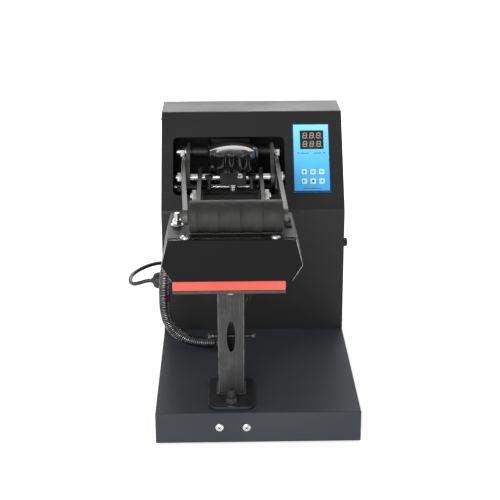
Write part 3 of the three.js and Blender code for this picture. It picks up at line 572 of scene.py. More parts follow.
low, high = box_of("pressure_knob")
RIM_RADIUS = (high.x - low.x) / 2
LOBES, SCALLOP, PLAIN_RADIUS = 9, 3.2, 33
height = high.z - low.z
bm = bmesh.new()
turned(bm, (SCREW_X, SCREW_Y, low.z), (SCREW_X, SCREW_Y, high.z), [
    (2, 0), (2, 11), (0.6, 12), (0.6, 17), (4, 19), (9, 20), (9, 33), (1.2, 34.4), (0.4, 35.4),
    (0, RIM_RADIUS - 2.6), (0.4, RIM_RADIUS - 1.2), (1.6, RIM_RADIUS), (12, RIM_RADIUS),
    (26, RIM_RADIUS), (29.2, RIM_RADIUS - 0.1), (30.6, RIM_RADIUS - 0.7), (31.6, RIM_RADIUS - 2.2),
    (32.6, 34), (34.1, 29), (35.5, 23), (36.7, 16), (37.4, 8), (height, 0)], 144)
for vert in bm.verts:
    place = place_of(vert.co) - Vector((SCREW_X, SCREW_Y, low.z))
    radius = sqrt(place.x ** 2 + place.y ** 2)
    if radius > PLAIN_RADIUS:
        share = min(max((radius - PLAIN_RADIUS) / 3, 0), 1)
        notch = max(0, -cos(LOBES * atan2(place.y, place.x))) ** 0.8 * SCALLOP * share
        shrink = (radius - notch) / radius
        vert.co = at(SCREW_X + place.x * shrink, SCREW_Y + place.y * shrink, low.z + place.z)
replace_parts(finished("lobed_knob", bm, "knob", GLOSS_BLACK, smooth=50),
            "pressure_knob")

# ---- Arm ----
# Two profile-cut side plates and a crossbar make the arm that carries the heated platen. Each
# plate has a short bolt through its ear, and the curved slot that its crank pin slides in.
for side in ("left", "right"):
    eased(f"arm_plate_{side}", "arm", [BLACK_STEEL, EDGE_WEAR_AND_HIGHLIGHT], 0.6,
          cut_face=narrow_side)
eased("arm_crossbar", "arm", [BLACK_STEEL, EDGE_WEAR_AND_HIGHLIGHT], 0.8,
      cut_face=lambda normal, place: normal.z > 0.9)


def paint_new(bm, start, finish=1):
    """Gives the faces added since there were start of them a finish by its number."""
    bm.faces.ensure_lookup_table()
    for face in bm.faces[start:]:
        face.material_index = finish


EAR_Y, EAR_Z, EAR_HALF, EAR_THICK = 262, 275, 49.5, 6
bm = bmesh.new()
for side in (-1, 1):
    face = PRESS_X + side * (EAR_HALF + 0.05)
    inner = PRESS_X + side * (EAR_HALF - EAR_THICK - 0.05)
    start = len(bm.faces)
    turned(bm, (inner, EAR_Y, EAR_Z), (inner - side * 9, EAR_Y, EAR_Z), [
        (0, 0), (0, 7.8), (0.7, 7.7), (2.4, 6), (3.4, 3.6), (3.7, 0)], 28)
    paint_new(bm, start)
    washer(bm, (face, EAR_Y, EAR_Z), (face + side * 1.2, EAR_Y, EAR_Z), 9, 4.6)
    hexagon(bm, (face + side * 1.2, EAR_Y, EAR_Z), (face + side * 8, EAR_Y, EAR_Z), 8.8)
    thread(bm, (face + side * 2, EAR_Y, EAR_Z), (face + side * 10.5, EAR_Y, EAR_Z), 4.5)
finished("ear_bolts", bm, "arm", [BRIGHT_ZINC, BLACKENED])

# ---- Heated platen ----
# An aluminium block holds the heating element. A mineral-fibre board on top keeps the heat
# down, and a steel hanger plate bolted over both hangs them from the arm.
cast = Finish("cast_aluminium", (0.42, 0.42, 0.42), 0.42, 1.0)
brushed = cast.noise(1, 4, stretch=(12, 260, 260))
cast.colour(cast.ramp(brushed, [(0.3, (0.3, 0.3, 0.3)), (0.7, (0.52, 0.52, 0.51))]))
cast.roughness(cast.spread(brushed, 0.32, 0.52))
cast.bump(cast.noise(500, 3), 0.12, 0.0001)
fibre = Finish("fibre_board", (0.5, 0.46, 0.38), 0.9)
fleck = fibre.noise(240, 5, rough=0.7)
fibre.colour(fibre.ramp(fleck, [(0.35, (0.4, 0.36, 0.29)), (0.65, (0.6, 0.56, 0.47))]))
fibre.bump(fleck, 0.4, 0.0004)
eased("heating_plate", "arm", cast.material, 0.9)
eased("insulation_board", "arm", fibre.material, 0.5)
eased("hanger_plate", "arm", BLACK_STEEL, 0.7)

# ---- Platen cover and guard ----
# A folded sheet cover keeps hands off the hot platen. A flat guard closes its front, with two
# tabs bent back over the top and screwed down. Both are cut from sheet: the cover's cut edges
# are rubbed bare, and the guard's side edges are painted bright as a highlight.
low, high = box_of("platen_cover")
outline = [place_of(v.co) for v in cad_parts["platen_cover"].data.vertices]
belt = max((p for p in outline if p.x > PRESS_X), key=lambda p: p.x)
foot = min((p for p in outline if p.x > PRESS_X), key=lambda p: (round(p.z, 1), -p.x))
crown = max((p for p in outline if p.x > PRESS_X), key=lambda p: (round(p.z, 1), p.x))
TOP_GAP = 9.5
line = [(foot.x, foot.z), (belt.x, belt.z), (crown.x + 0.5, crown.z - 2), (crown.x, crown.z)]
line = [(2 * PRESS_X - x, z) for x, z in line] + line[::-1]
bm = bmesh.new()
verts = [bm.verts.new(at(x, low.y + (TOP_GAP if z > crown.z - 1 else 0), z)) for x, z in line]
edges = [bm.edges.new(pair) for pair in zip(verts, verts[1:])]
swept = bmesh.ops.extrude_edge_only(bm, edges=edges)["geom"]
for vert in swept:
    if isinstance(vert, bmesh.types.BMVert):
        vert.co.y = at(0, high.y, 0).y
bmesh.ops.recalc_face_normals(bm, faces=bm.faces)
if min(bm.faces, key=lambda f: f.normal.z).normal.z > -0.2 and sum(
        f.normal.z for f in bm.faces if f.calc_center_median().z > at(0, 0, crown.z - 1).z) < 0:
    bmesh.ops.reverse_faces(bm, faces=bm.faces)
folds = [e for e in bm.edges if len(e.link_faces) == 2 and e.calc_face_angle() > radians(18)]
round_edges(bm, folds, 2.6, 4)
cover = finished("cover_sheet", bm, "arm", [BLACK_COAT, EDGE_WEAR_AND_HIGHLIGHT])
wall = cover.modifiers.new("sheet", "SOLIDIFY")
wall.thickness = 0.0015
wall.offset = -1
wall.material_offset_rim = 1
cover.modifiers.move(1, 0)
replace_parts(cover, "platen_cover")

# The guard's side edges get this bright metal colour: a painted highlight on the bare cut edge.
shine = Finish("guard_edge_highlight", (0.45, 0.45, 0.44), 0.35, 0.9)
shine.colour(shine.ramp(shine.noise(90, 6, rough=0.7), [
    (0.3, (0.12, 0.12, 0.12)), (0.5, (0.42, 0.42, 0.41)), (0.7, (0.7, 0.7, 0.68))]))
shine.roughness(shine.spread(shine.noise(300), 0.3, 0.5))
GUARD_EDGE_HIGHLIGHT = shine.material
GUARD_COAT = powder_coat("guard_powder", (0.0024, 0.0025, 0.0027), rough=0.5, gloss=0.13)
guard_low, guard_high = box_of("front_guard")
bm = from_cad("front_guard")
# Side-facing edge faces and their roundings take the painted highlight.
for face in round_edges(bm, sharp_edges(bm, 40), 0.55, 2):
    if abs(face.normal.x) > 0.25:
        face.material_index = 1
for face in bm.faces:
    if abs(face.normal.x) > 0.9 or (abs(face.normal.x) > 0.3 and abs(face.normal.y) < 0.2):
        face.material_index = 1
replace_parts(finished("guard_plate", bm, "arm", [GUARD_COAT, GUARD_EDGE_HIGHLIGHT]),
            "front_guard")
TAB_X = (-94.7, 22.7)
bm = bmesh.new()
block(bm, (guard_low.x + 10.5, guard_low.y + 0.6, guard_high.z - 1.2),
      (guard_high.x - 10.5, guard_low.y + 4.4, guard_high.z + 0.1), 0.6, 3)
for x in TAB_X:
    block(bm, (x - 9, guard_low.y + 2, guard_high.z - 1.1),
          (x + 9, guard_low.y + 22, guard_high.z + 0.25), 0.5)
    block(bm, (x - 9, guard_low.y + 10.5, guard_high.z + 0.05),
          (x + 9, guard_low.y + 22, guard_high.z + 1.4), 0.5)
finished("guard_tabs", bm, "arm", BLACK_COAT)
bm = bmesh.new()
for x in TAB_X:
    washer(bm, (x, 21, guard_high.z + 0.3), (x, 21, guard_high.z + 1.5), 6.9, 3)
    cross_screw(bm, (x, 21, guard_high.z + 1.5), (x, 21, guard_high.z + 9), 5.8, 2.9)
finished("guard_screws", bm, "arm", [BRIGHT_ZINC, PAINTED_RECESS_SHADE])

# ---- Cover fittings ----
# A stud with a nut and washer clamps the cover on the left, over a short slot. On the right a
# small grey block with a black socket screw holds the edge of the cover.
SLOTTED = (-107, 77)
# The slot is a thin near-black strip on the cover: painted shade in the opening.
bm = bmesh.new()
block(bm, (SLOTTED[0] - 5, SLOTTED[1] - 19, crown.z + 0.02),
      (SLOTTED[0] + 5, SLOTTED[1] - 10, crown.z + 0.25), 0.1)
finished("cover_slot_shade", bm, "arm", PAINTED_RECESS_SHADE)
bm = bmesh.new()
x, y = SLOTTED
washer(bm, (x, y, crown.z + 0.05), (x, y, crown.z + 1.5), 8.6, 3.2)
hexagon(bm, (x, y, crown.z + 1.5), (x, y, crown.z + 8), 6.9)
thread(bm, (x, y, crown.z + 2), (x, y, crown.z + 17.3), 3.9, 1.25)
finished("cover_stud", bm, "arm", BRIGHT_ZINC)
bm = bmesh.new()
block(bm, (38, 66, crown.z + 0.05), (47.4, 84, crown.z + 4.2), 0.8)
finished("cover_block", bm, "arm", EDGE_WEAR_AND_HIGHLIGHT)
bm = bmesh.new()
turned(bm, (43, 77, crown.z + 4.2), (43, 77, crown.z + 12), [
    (0, 0), (0, 3.4), (0.3, 3.9), (4.4, 3.9), (4.8, 3.4), (4.8, 1.9), (2.4, 1.8), (2.4, 0)], 24)
finished("cover_socket_screw", bm, "arm", BLACKENED)

# ---- Post and lower platen ----
# A square tube is welded to a foot plate, which one stud and nut clamp to the base. It carries a
# plain steel platen with a screw and a wire loop below, and a pin crosses it behind a long slot.
eased("post_foot_plate", "machine", [BLACK_STEEL, WORN_STEEL], 0.8)
scuffed = Finish("scuffed_post", (0.022, 0.022, 0.022), 0.42, 0.35)
cloud = scuffed.noise(26, 7, rough=0.7)
scratch = scuffed.noise(1, 6, stretch=(700, 700, 24), rough=0.7)
scuffed.colour(scuffed.mix(
    scuffed.spread(scratch, 0, 0.5, 0.5, 0.75),
    scuffed.ramp(cloud, [(0.3, (0.014, 0.014, 0.0145)), (0.55, (0.03, 0.03, 0.031)),
                         (0.8, (0.075, 0.075, 0.074))]), (0.12, 0.12, 0.118)))
scuffed.roughness(scuffed.spread(cloud, 0.34, 0.55))
scuffed.bump(scuffed.noise(500, 3), 0.2, 0.0002)
post_low, post_high = box_of("platen_post")


def post_corner(p):
    at_side = min(p.x - post_low.x, post_high.x - p.x) < 0.1
    at_front = min(p.y - post_low.y, post_high.y - p.y) < 0.1
    return at_side and at_front


bm = from_cad("platen_post")
# The post's rounded corners take the lighter edge finish: painted highlight.
for face in round_edges(bm, sharp_edges(bm, 60, post_corner), 1.5, 3):
    face.material_index = 1
round_edges(bm, [e for e in sharp_edges(bm, 60) if not post_corner(
    place_of((e.verts[0].co + e.verts[1].co) / 2))], 0.3, 1)
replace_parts(finished("post_tube", bm, "machine", [scuffed.material, EDGE_WEAR_AND_HIGHLIGHT]),
            "platen_post")

bead = Finish("weld_bead", (0.03, 0.03, 0.03), 0.5, 0.4)
bead.colour(bead.ramp(bead.noise(220, 4), [(0.3, (0.018, 0.018, 0.018)),
                                           (0.7, (0.055, 0.054, 0.052))]))
bead.bump(bead.noise(380, 3), 0.5, 0.0005)
plate_top = post_low.z - 0.1
bm = bmesh.new()
for (x0, y0), (x1, y1) in (((post_low.x, post_low.y), (post_high.x, post_low.y)),
                           ((post_high.x, post_low.y), (post_high.x, post_high.y)),
                           ((post_high.x, post_high.y), (post_low.x, post_high.y)),
                           ((post_low.x, post_high.y), (post_low.x, post_low.y))):
    start, end = Vector((x0, y0, plate_top + 0.6)), Vector((x1, y1, plate_top + 0.6))
    ripples = 22
    length = (end - start).length
    profile = [(0, 0)]
    for i in range(ripples):
        profile += [(length * (i + 0.1) / ripples, 2.3), (length * (i + 0.6) / ripples, 2.9)]
    turned(bm, start, end, [*profile, (length, 2.3), (length, 0)], 12)
finished("post_welds", bm, "machine", bead.material, smooth=60)

STUD = (-36, 17.7)
x, y = STUD
bm = bmesh.new()
top = post_low.z - 0.3
washer(bm, (x, y, top), (x, y, top + 1.6), 10.5, 4.3)
hexagon(bm, (x, y, top + 1.6), (x, y, top + 10.4), 8.2)
thread(bm, (x, y, top + 2), (x, y, 74), 4.6, 1.5)
finished("foot_stud", bm, "machine", BLACKENED)

dull = Finish("dull_zinc", (0.03, 0.03, 0.031), 0.42, 0.7)
dull.colour(dull.ramp(dull.noise(70, 4), [
    (0.42, (0.018, 0.018, 0.019)), (0.62, (0.045, 0.045, 0.046)), (0.7, (0.4, 0.4, 0.4))]))
DULL_ZINC = dull.material
low, high = box_of("cross_pin")
y, z = (low.y + high.y) / 2, (low.z + high.z) / 2
bm = bmesh.new()
bar(bm, (low.x + 0.5, y, z), (high.x - 0.5, y, z), 3, width=0.3)
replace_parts(finished("cross_pin_rod", bm, "machine", DULL_ZINC), "cross_pin")
bm = bmesh.new()
for x, sign in ((low.x, 1), (high.x, -1)):
    turned(bm, (x, y, z), (x + sign * 9, y, z), [
        (0, 0), (0, 3.6), (0.8, 4.8), (1.4, 5), (4.2, 5), (5, 4.5), (5, 0)], 24)
finished("cross_pin_caps", bm, "machine", BLACKENED)

plate = Finish("oiled_plate", (0.05, 0.056, 0.052), 0.38, 0.6)
stain = plate.noise(40, 6, rough=0.65)
plate.colour(plate.ramp(stain, [(0.3, (0.03, 0.034, 0.031)), (0.55, (0.058, 0.066, 0.06)),
                                (0.8, (0.1, 0.11, 0.1))]))
plate.roughness(plate.spread(stain, 0.3, 0.5))
plate.bump(plate.noise(600, 3), 0.15, 0.0001)
eased("lower_platen", "machine", plate.material, 0.6)


def smooth_line(points, step):
    """Points along a centripetal Catmull-Rom curve through places on the machine, in metres."""
    line = [at(*p) for p in points]
    line = [2 * line[0] - line[1], *line, 2 * line[-1] - line[-2]]
    made = []
    for a, b, c, d in zip(line, line[1:], line[2:], line[3:]):
        t1 = sqrt((b - a).length)
        t2 = t1 + sqrt((c - b).length)
        t3 = t2 + sqrt((d - c).length)
        parts = max(2, round((c - b).length / step))
        for i in range(parts):
            t = t1 + (t2 - t1) * i / parts
            ab = a + (b - a) * t / t1
            bc = b + (c - b) * (t - t1) / (t2 - t1)
            cd = c + (d - c) * (t - t2) / (t3 - t2)
            abc = ab + (bc - ab) * t / t2
            bcd = bc + (cd - bc) * (t - t1) / (t3 - t1)
            made.append(abc + (bcd - abc) * (t - t1) / (t2 - t1))
    return [*made, line[-2].copy()]


def tube_curve(name, line, radius, rings):
    """A round tube along points in metres, as a curve object."""
    data = bpy.data.curves.new(name, "CURVE")
    data.dimensions = "3D"
    data.bevel_depth = radius
    data.bevel_resolution = rings
    data.use_fill_caps = True
    spline = data.splines.new("POLY")
    spline.points.add(len(line) - 1)
    for point, place in zip(spline.points, line):
        point.co = (*place, 1)
    made = bpy.data.objects.new(name, data)
    bpy.context.scene.collection.objects.link(made)
    return made


def tube_mesh(bm, line, radius, rings, finish=0):
    """Adds a round tube along points in metres to a bmesh."""
    curve = tube_curve("winding", line, radius, rings)
    graph = bpy.context.evaluated_depsgraph_get()
    mesh = bpy.data.meshes.new_from_object(curve.evaluated_get(graph))
    first = len(bm.faces)
    bm.from_mesh(mesh)
    paint_new(bm, first, finish)
    bpy.data.objects.remove(curve)
    bpy.data.meshes.remove(mesh)


low, high = box_of("lower_platen")
bm = bmesh.new()
turned(bm, (-36, low.y + 9, low.z - 0.02), (-36, low.y + 9, low.z - 6), [
    (0, 0), (0, 7), (1.2, 7), (3, 5.6), (3.9, 3.4), (4.1, 0)], 28)
finished("platen_screw", bm, "machine", BRIGHT_ZINC)
hanging = smooth_line([(-13.4, 40, low.z - 0.4), (-12.8, 39.6, low.z - 7), (-13.8, 39, low.z - 14),
                       (-15.2, 38.6, low.z - 18.4), (-13.6, 38.4, low.z - 20.6),
                       (-11.2, 38.6, low.z - 18.4), (-9.4, 39.2, low.z - 12),
                       (-7.8, 40, low.z - 6), (-7.4, 40.4, low.z - 0.4)], 0.001)
bm = bmesh.new()
tube_mesh(bm, hanging, 0.0005, 2)
finished("wire_loop", bm, "machine", DULL_ZINC)

# ---- Silicone pad ----
# The work rests on a heat-resistant pad of red silicone sponge, cut square from sheet and glued
# to the lower platen. Its cut faces show fine pores, and its sides bulge a little.
red = Finish("red_sponge", (0.76, 0.095, 0.07), 0.6, Specular_IOR_Level=0.35)
tint = red.noise(14, 4)
pores = red.noise(1100, 2)
body_red = red.ramp(tint, [(0.3, (0.69, 0.078, 0.056)), (0.7, (0.82, 0.118, 0.086))])
red.colour(red.mix(red.spread(pores, 0.45, 0, 0.34, 0.5), body_red, (0.5, 0.035, 0.025)))
red.roughness(red.spread(tint, 0.52, 0.7))
red.bump(pores, 0.35, 0.0003)
low, high = box_of("silicone_pad")
bm = bmesh.new()
block(bm, low + Vector((0.4, 0.4, 0)), high - Vector((0.4, 0.4, 0)))
bmesh.ops.subdivide_edges(bm, edges=bm.edges, cuts=9, use_grid_fill=True)
for vert in bm.verts:
    place = place_of(vert.co)
    rise = (place.z - low.z) / (high.z - low.z)
    swell = 0.4 * sin(pi * min(max(rise, 0), 1))
    if min(place.x - low.x, high.x - place.x) < 0.5:
        place.x += swell * (1 if place.x > (low.x + high.x) / 2 else -1)
    if min(place.y - low.y, high.y - place.y) < 0.5:
        place.y += swell * (1 if place.y > (low.y + high.y) / 2 else -1)
    vert.co = at(*place)
round_edges(bm, sharp_edges(bm, 60), 0.7, 2)
pad = finished("sponge_pad", bm, "machine", red.material)
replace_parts(pad, "silicone_pad")

# ---- Controller ----
# A plastic temperature and time controller fits in a cut-out of the sloping face. Its blue
# front has a dark two-row display, two lamps and six pale keys, each with a printed mark.
SLOPE_UP = Vector((0, 94.3, 133.4)).normalized()
SLOPE_OUT = Vector((0, -SLOPE_UP.z, SLOPE_UP.y))
face_low, face_high = box_of("controller_face")
BEZEL_THICK = 2.2
FACE_LENGTH = (face_high.z - face_low.z - BEZEL_THICK * SLOPE_OUT.z) / SLOPE_UP.z
FACE_FOOT = Vector((face_low.x, face_high.y - SLOPE_UP.y * FACE_LENGTH,
                    face_high.z - SLOPE_UP.z * FACE_LENGTH - SLOPE_OUT.z * BEZEL_THICK))


def on_face(x, s, out):
    """A place on the controller: X across the machine, s up its face, out from its back."""
    return at(*(Vector((x, 0, 0)) + Vector((0, FACE_FOOT.y, FACE_FOOT.z))
                + SLOPE_UP * s + SLOPE_OUT * out))


FACE_TURN = Matrix(((1, 0, 0), (0, SLOPE_UP.y, SLOPE_OUT.y), (0, SLOPE_UP.z, SLOPE_OUT.z)))


def face_block(bm, x0, x1, s0, s1, low, high, width=0, steps=2, finish=0):
    """Adds a block that lies on the controller's face."""
    middle = on_face((x0 + x1) / 2, (s0 + s1) / 2, (low + high) / 2)
    size = Vector((x1 - x0, s1 - s0, high - low)) / 1000
    verts = bmesh.ops.create_cube(bm, size=1, matrix=Matrix.Translation(middle)
                                  @ FACE_TURN.to_4x4() @ Matrix.Diagonal((*size, 1)))["verts"]
    faces = {f for v in verts for f in v.link_faces}
    for face in faces:
        face.material_index = finish
    if width:
        for face in round_edges(bm, {e for v in verts for e in v.link_edges}, width, steps):
            face.material_index = finish


blue = Finish("panel_blue", (0.1, 0.5, 0.9), 0.32)
level = blue.node("SeparateXYZ")
blue.link(blue.place, level.inputs[0])
height = blue.spread(level.outputs["Z"], 0, 1, face_low.z / 1000, face_high.z / 1000)
blue.colour(blue.ramp(height, [(0.0, (0.045, 0.42, 0.9)), (0.45, (0.1, 0.56, 0.95)),
                               (0.8, (0.2, 0.72, 0.98)), (1.0, (0.3, 0.82, 1.0))]))
blue.roughness(blue.spread(blue.noise(120, 3), 0.26, 0.4))
blue.bump(blue.noise(1400, 2), 0.08, 0.0001)
navy = Finish("bezel_navy", (0.004, 0.02, 0.07), 0.3)
navy.roughness(navy.spread(navy.noise(200, 3), 0.24, 0.42))
moulded = Finish("moulded_black", (0.014, 0.014, 0.0145), 0.45)
moulded.roughness(moulded.spread(moulded.noise(80, 4), 0.36, 0.55))
moulded.bump(moulded.noise(1100, 2), 0.15, 0.0001)
MOULDED = moulded.material
eased("controller_case", "machine", MOULDED, 0.8)

bm = from_cad("controller_face")
round_edges(bm, sharp_edges(bm, 60), 0.35, 2)
x0, x1 = face_low.x, face_high.x
RIM = 2.1
for block_x0, block_x1, s0, s1 in (
        (x0, x0 + RIM, 0, FACE_LENGTH), (x1 - RIM, x1, 0, FACE_LENGTH),
        (x0 + RIM - 0.2, x1 - RIM + 0.2, 0, RIM),
        (x0 + RIM - 0.2, x1 - RIM + 0.2, FACE_LENGTH - RIM, FACE_LENGTH)):
    face_block(bm, block_x0, block_x1, s0, s1, BEZEL_THICK - 0.4, BEZEL_THICK + 0.55, 0.4,
               finish=1)
face = finished("controller_front", bm, "machine", [blue.material, navy.material])
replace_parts(face, "controller_face")

smoked = Finish("smoked_window", (0.012, 0.0095, 0.008), 0.12)
smoked.roughness(smoked.spread(smoked.noise(60, 3), 0.08, 0.2))
unlit = Finish("unlit_segment", (0.4, 0.35, 0.29), 0.5)
unlit.colour(unlit.ramp(unlit.noise(300, 3), [(0.3, (0.34, 0.29, 0.24)),
                                              (0.7, (0.46, 0.41, 0.34))]))
unlit.roughness(unlit.spread(unlit.noise(500), 0.4, 0.6))
window_low, window_high = box_of("display_window")
show_x0, show_x1 = window_low.x, window_high.x
show_s1 = (window_high.z - FACE_FOOT.z - SLOPE_OUT.z * BEZEL_THICK) / SLOPE_UP.z
show_s0 = (window_low.z - FACE_FOOT.z) / SLOPE_UP.z
GLASS = BEZEL_THICK - 0.3
bm = bmesh.new()
face_block(bm, show_x0, show_x1, show_s0, show_s1, 0.05, GLASS, 0.2, 1)
SEGMENTS = [(0, 1, 1), (1, 0.5, 0), (1, -0.5, 0), (0, -1, 1), (-1, -0.5, 0), (-1, 0.5, 0),
            (0, 0, 1)]
DIGIT_WIDTH, DIGIT_HEIGHT, STROKE, SLANT = 6.6, 9.6, 1.25, 0.12
DIGIT_PITCH = 10.6
rows = (show_s0 + (show_s1 - show_s0) * 0.27, show_s0 + (show_s1 - show_s0) * 0.73)
middle_x = (show_x0 + show_x1) / 2
for row in rows:
    for digit in (-1, 0, 1):
        centre = middle_x + digit * DIGIT_PITCH
        for across, rise, flat in SEGMENTS:
            u = across * (DIGIT_WIDTH - STROKE) / 2
            v = rise * (DIGIT_HEIGHT - STROKE) / 2
            lean = v * SLANT
            half_u = (DIGIT_WIDTH / 2 - STROKE * 0.75) if flat else STROKE / 2
            half_v = STROKE / 2 if flat else DIGIT_HEIGHT / 4 - STROKE * 0.45
            face_block(bm, centre + u + lean - half_u, centre + u + lean + half_u,
                       row + v - half_v, row + v + half_v, GLASS - 0.1, GLASS + 0.06, finish=1)
        face_block(bm, centre + 4.1, centre + 5.1, row - DIGIT_HEIGHT / 2,
                   row - DIGIT_HEIGHT / 2 + 1, GLASS - 0.1, GLASS + 0.06, finish=1)
screen = finished("display_screen", bm, "machine", [smoked.material, unlit.material])
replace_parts(screen, "display_window")

ink = Finish("printed_navy", (0.006, 0.03, 0.12), 0.4)
ink.roughness(ink.spread(ink.noise(400), 0.34, 0.5))
lamp = Finish("lamp_lens", (0.55, 0.06, 0.04), 0.15, Coat_Weight=0.5)
lamp.colour(lamp.ramp(lamp.noise(500, 2), [(0.3, (0.4, 0.03, 0.02)), (0.7, (0.7, 0.09, 0.06))]))
bm = bmesh.new()
LAMP_INSET = 9.5
for x in (face_low.x + LAMP_INSET, face_high.x - LAMP_INSET):
    foot = place_of(on_face(x, show_s0 - 7, BEZEL_THICK - 0.1))
    toward = place_of(on_face(x, show_s0 - 7, 9))
    turned(bm, foot, toward,
           [(0, 0), (0, 1.5), (0.7, 1.45), (1.1, 1.1), (1.3, 0.5), (1.35, 0)], 20)
finished("lamps", bm, "machine", lamp.material)
bm = bmesh.new()
printed = BEZEL_THICK + 0.04
for row in range(5):
    x = face_high.x - 6.2
    face_block(bm, x, x + 1.6, show_s1 - 5 - row * 5.6, show_s1 - 4.2 - row * 5.6,
               BEZEL_THICK - 0.05, printed)
for x, wide in ((face_low.x + 13.5, 12), (face_high.x - 25.5, 12)):
    face_block(bm, x, x + wide, show_s0 - 7.6, show_s0 - 6.6, BEZEL_THICK - 0.05, printed)
face_block(bm, face_low.x + 16, face_high.x - 16, 5.6, 6.6, BEZEL_THICK - 0.05, printed)
finished("printed_marks", bm, "machine", ink.material)

key = Finish("key_plastic", (0.52, 0.83, 0.9), 0.35)
key.colour(key.ramp(key.noise(200, 3), [(0.3, (0.46, 0.78, 0.87)), (0.7, (0.6, 0.9, 0.95))]))
key.roughness(key.spread(key.noise(300), 0.28, 0.42))
KEY_MARKS = {
    1: [(-2, 2, -0.5, 0.5), (-0.5, 0.5, -2, 2)], 2: [(-2, 2, 0.7, 1.5), (-2, 2, -1.5, -0.7)],
    3: [(-2, 2, -0.5, 0.5)], 4: [(-1.9, -0.9, -2, 2), (-0.9, 1.6, -0.4, 0.4)],
    5: [(-1.6, 1.6, -1.6, 1.6)], 6: [(0.9, 1.9, -2, 2), (-1.6, 0.9, -0.4, 0.4)],
}
for number, marks in KEY_MARKS.items():
    low, high = box_of(f"key_{number}")
    bm = from_cad(f"key_{number}")
    round_edges(bm, sharp_edges(bm, 60), 0.4, 2)
    x = (low.x + high.x) / 2
    top = BEZEL_THICK + 1.1
    s = (high.z - FACE_FOOT.z - SLOPE_OUT.z * (top + 0.3)) / SLOPE_UP.z - 4.5
    for x0, x1, s0, s1 in marks:
        face_block(bm, x + x0, x + x1, s + s0, s + s1, top - 0.3, top + 0.35, finish=1)
    cap = finished(f"key_cap_{number}", bm, f"key_{number}_cap",
                   [key.material, ink.material])
    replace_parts(cap, f"key_{number}")

# ---- Fuse and switch ----
# The fuse holder's knurled cap and the mains rocker, in its thin frame, are moulded in black
# plastic and snap into the right side sheet.
low, high = box_of("fuse_cap")
y, z = (low.y + high.y) / 2, (low.z + high.z) / 2
radius, length = (high.z - low.z) / 2, high.x - low.x
bm = bmesh.new()
turned(bm, (low.x, y, z), (high.x, y, z), [
    (0, 0), (0, radius), (1.8, radius), (2.2, radius - 0.4), (2.4, radius - 1.1),
    (length - 1.4, radius - 1.4), (length - 0.5, radius - 1.9), (length, radius - 2.8),
    (length, 2.6), (length - 1.2, 2.4), (length - 1.2, 0)], 48)
for vert in bm.verts:
    place = place_of(vert.co) - Vector((low.x, y, z))
    around = sqrt(place.y ** 2 + place.z ** 2)
    if 2.3 < place.x < length - 1 and around > radius - 2:
        ridge = 0.35 * (1 if round(atan2(place.z, place.y) / (pi / 24)) % 2 else -1)
        vert.co = at(low.x + place.x, y + place.y * (1 + ridge / around),
                     z + place.z * (1 + ridge / around))
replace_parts(finished("fuse_knob", bm, "machine", MOULDED, smooth=30), "fuse_cap")

low, high = box_of("rocker_switch")
eased("rocker_switch", "power_rocker", MOULDED, 0.6, angle=15)
bm = bmesh.new()
right_side = place_of(TRAY_HIGH).x
frame_y, frame_z = 2.6, 2.4
for y0, y1, z0, z1 in (
        (low.y - frame_y, low.y - 0.6, low.z - frame_z, high.z + frame_z),
        (high.y + 0.6, high.y + frame_y, low.z - frame_z, high.z + frame_z),
        (low.y - 0.7, high.y + 0.7, low.z - frame_z, low.z - 0.6),
        (low.y - 0.7, high.y + 0.7, high.z + 0.6, high.z + frame_z)):
    block(bm, (right_side + 0.02, y0, z0), (right_side + 1.5, y1, z1), 0.4)
finished("rocker_frame", bm, "machine", MOULDED)

# ---- Heater hose ----
# The heater's wires run in a rubber conduit wound with a blackened steel spiral. It leaves the
# back of the platen cover, bows down past the post and ends in an elbow gland on the base.
HOSE_RADIUS = 8.2
HOSE_ROUTE = [
    (-100, 113, 262), (-103, 128, 260), (-107.5, 143, 254), (-113.5, 156, 244),
    (-120, 167.5, 228), (-125.5, 177, 208), (-130, 185, 185), (-133, 192, 160),
    (-134, 198, 137), (-133.6, 203, 115), (-129.4, 206.5, 94), (-117.4, 208.5, 75.2),
    (-98.6, 209.4, 62.8), (-79, 209.4, 58.4), (-61, 209.4, 58),
]


def frames_along(line):
    """Each point with its distance along the line and two directions across that don't twist."""
    along, side, made = 0, None, []
    for i, point in enumerate(line):
        ahead = (line[min(i + 1, len(line) - 1)] - line[max(i - 1, 0)]).normalized()
        side = ahead.orthogonal() if side is None else side - ahead * side.dot(ahead)
        side = side.normalized()
        if i:
            along += (point - line[i - 1]).length
        made.append((along, point, side, ahead.cross(side)))
    return made


hose_line = smooth_line(HOSE_ROUTE[::-1], 0.0012)
SPIRAL_PITCH, WIRE = 3.1, 0.85
conduit = Finish("conduit_rubber", (0.011, 0.011, 0.011), 0.6)
conduit.roughness(conduit.spread(conduit.noise(200), 0.5, 0.7))
wire = Finish("spiral_wire", (0.16, 0.16, 0.16), 0.22, 1.0)
wire.colour(wire.ramp(wire.noise(40, 4, rough=0.6), [
    (0.35, (0.07, 0.07, 0.07)), (0.6, (0.22, 0.22, 0.22)), (0.8, (0.5, 0.5, 0.49))]))
wire.roughness(wire.spread(wire.noise(260), 0.14, 0.28))
bm = bmesh.new()
tube_mesh(bm, hose_line[::3] + [hose_line[-1]], (HOSE_RADIUS - 2 * WIRE + 0.35) / 1000, 6)
coil_radius = (HOSE_RADIUS - WIRE) / 1000
helix = []
frames = frames_along(hose_line)
TURN_POINTS = 14
total = frames[-1][0]
count = int(total * 1000 / SPIRAL_PITCH * TURN_POINTS)
at_frame = 0
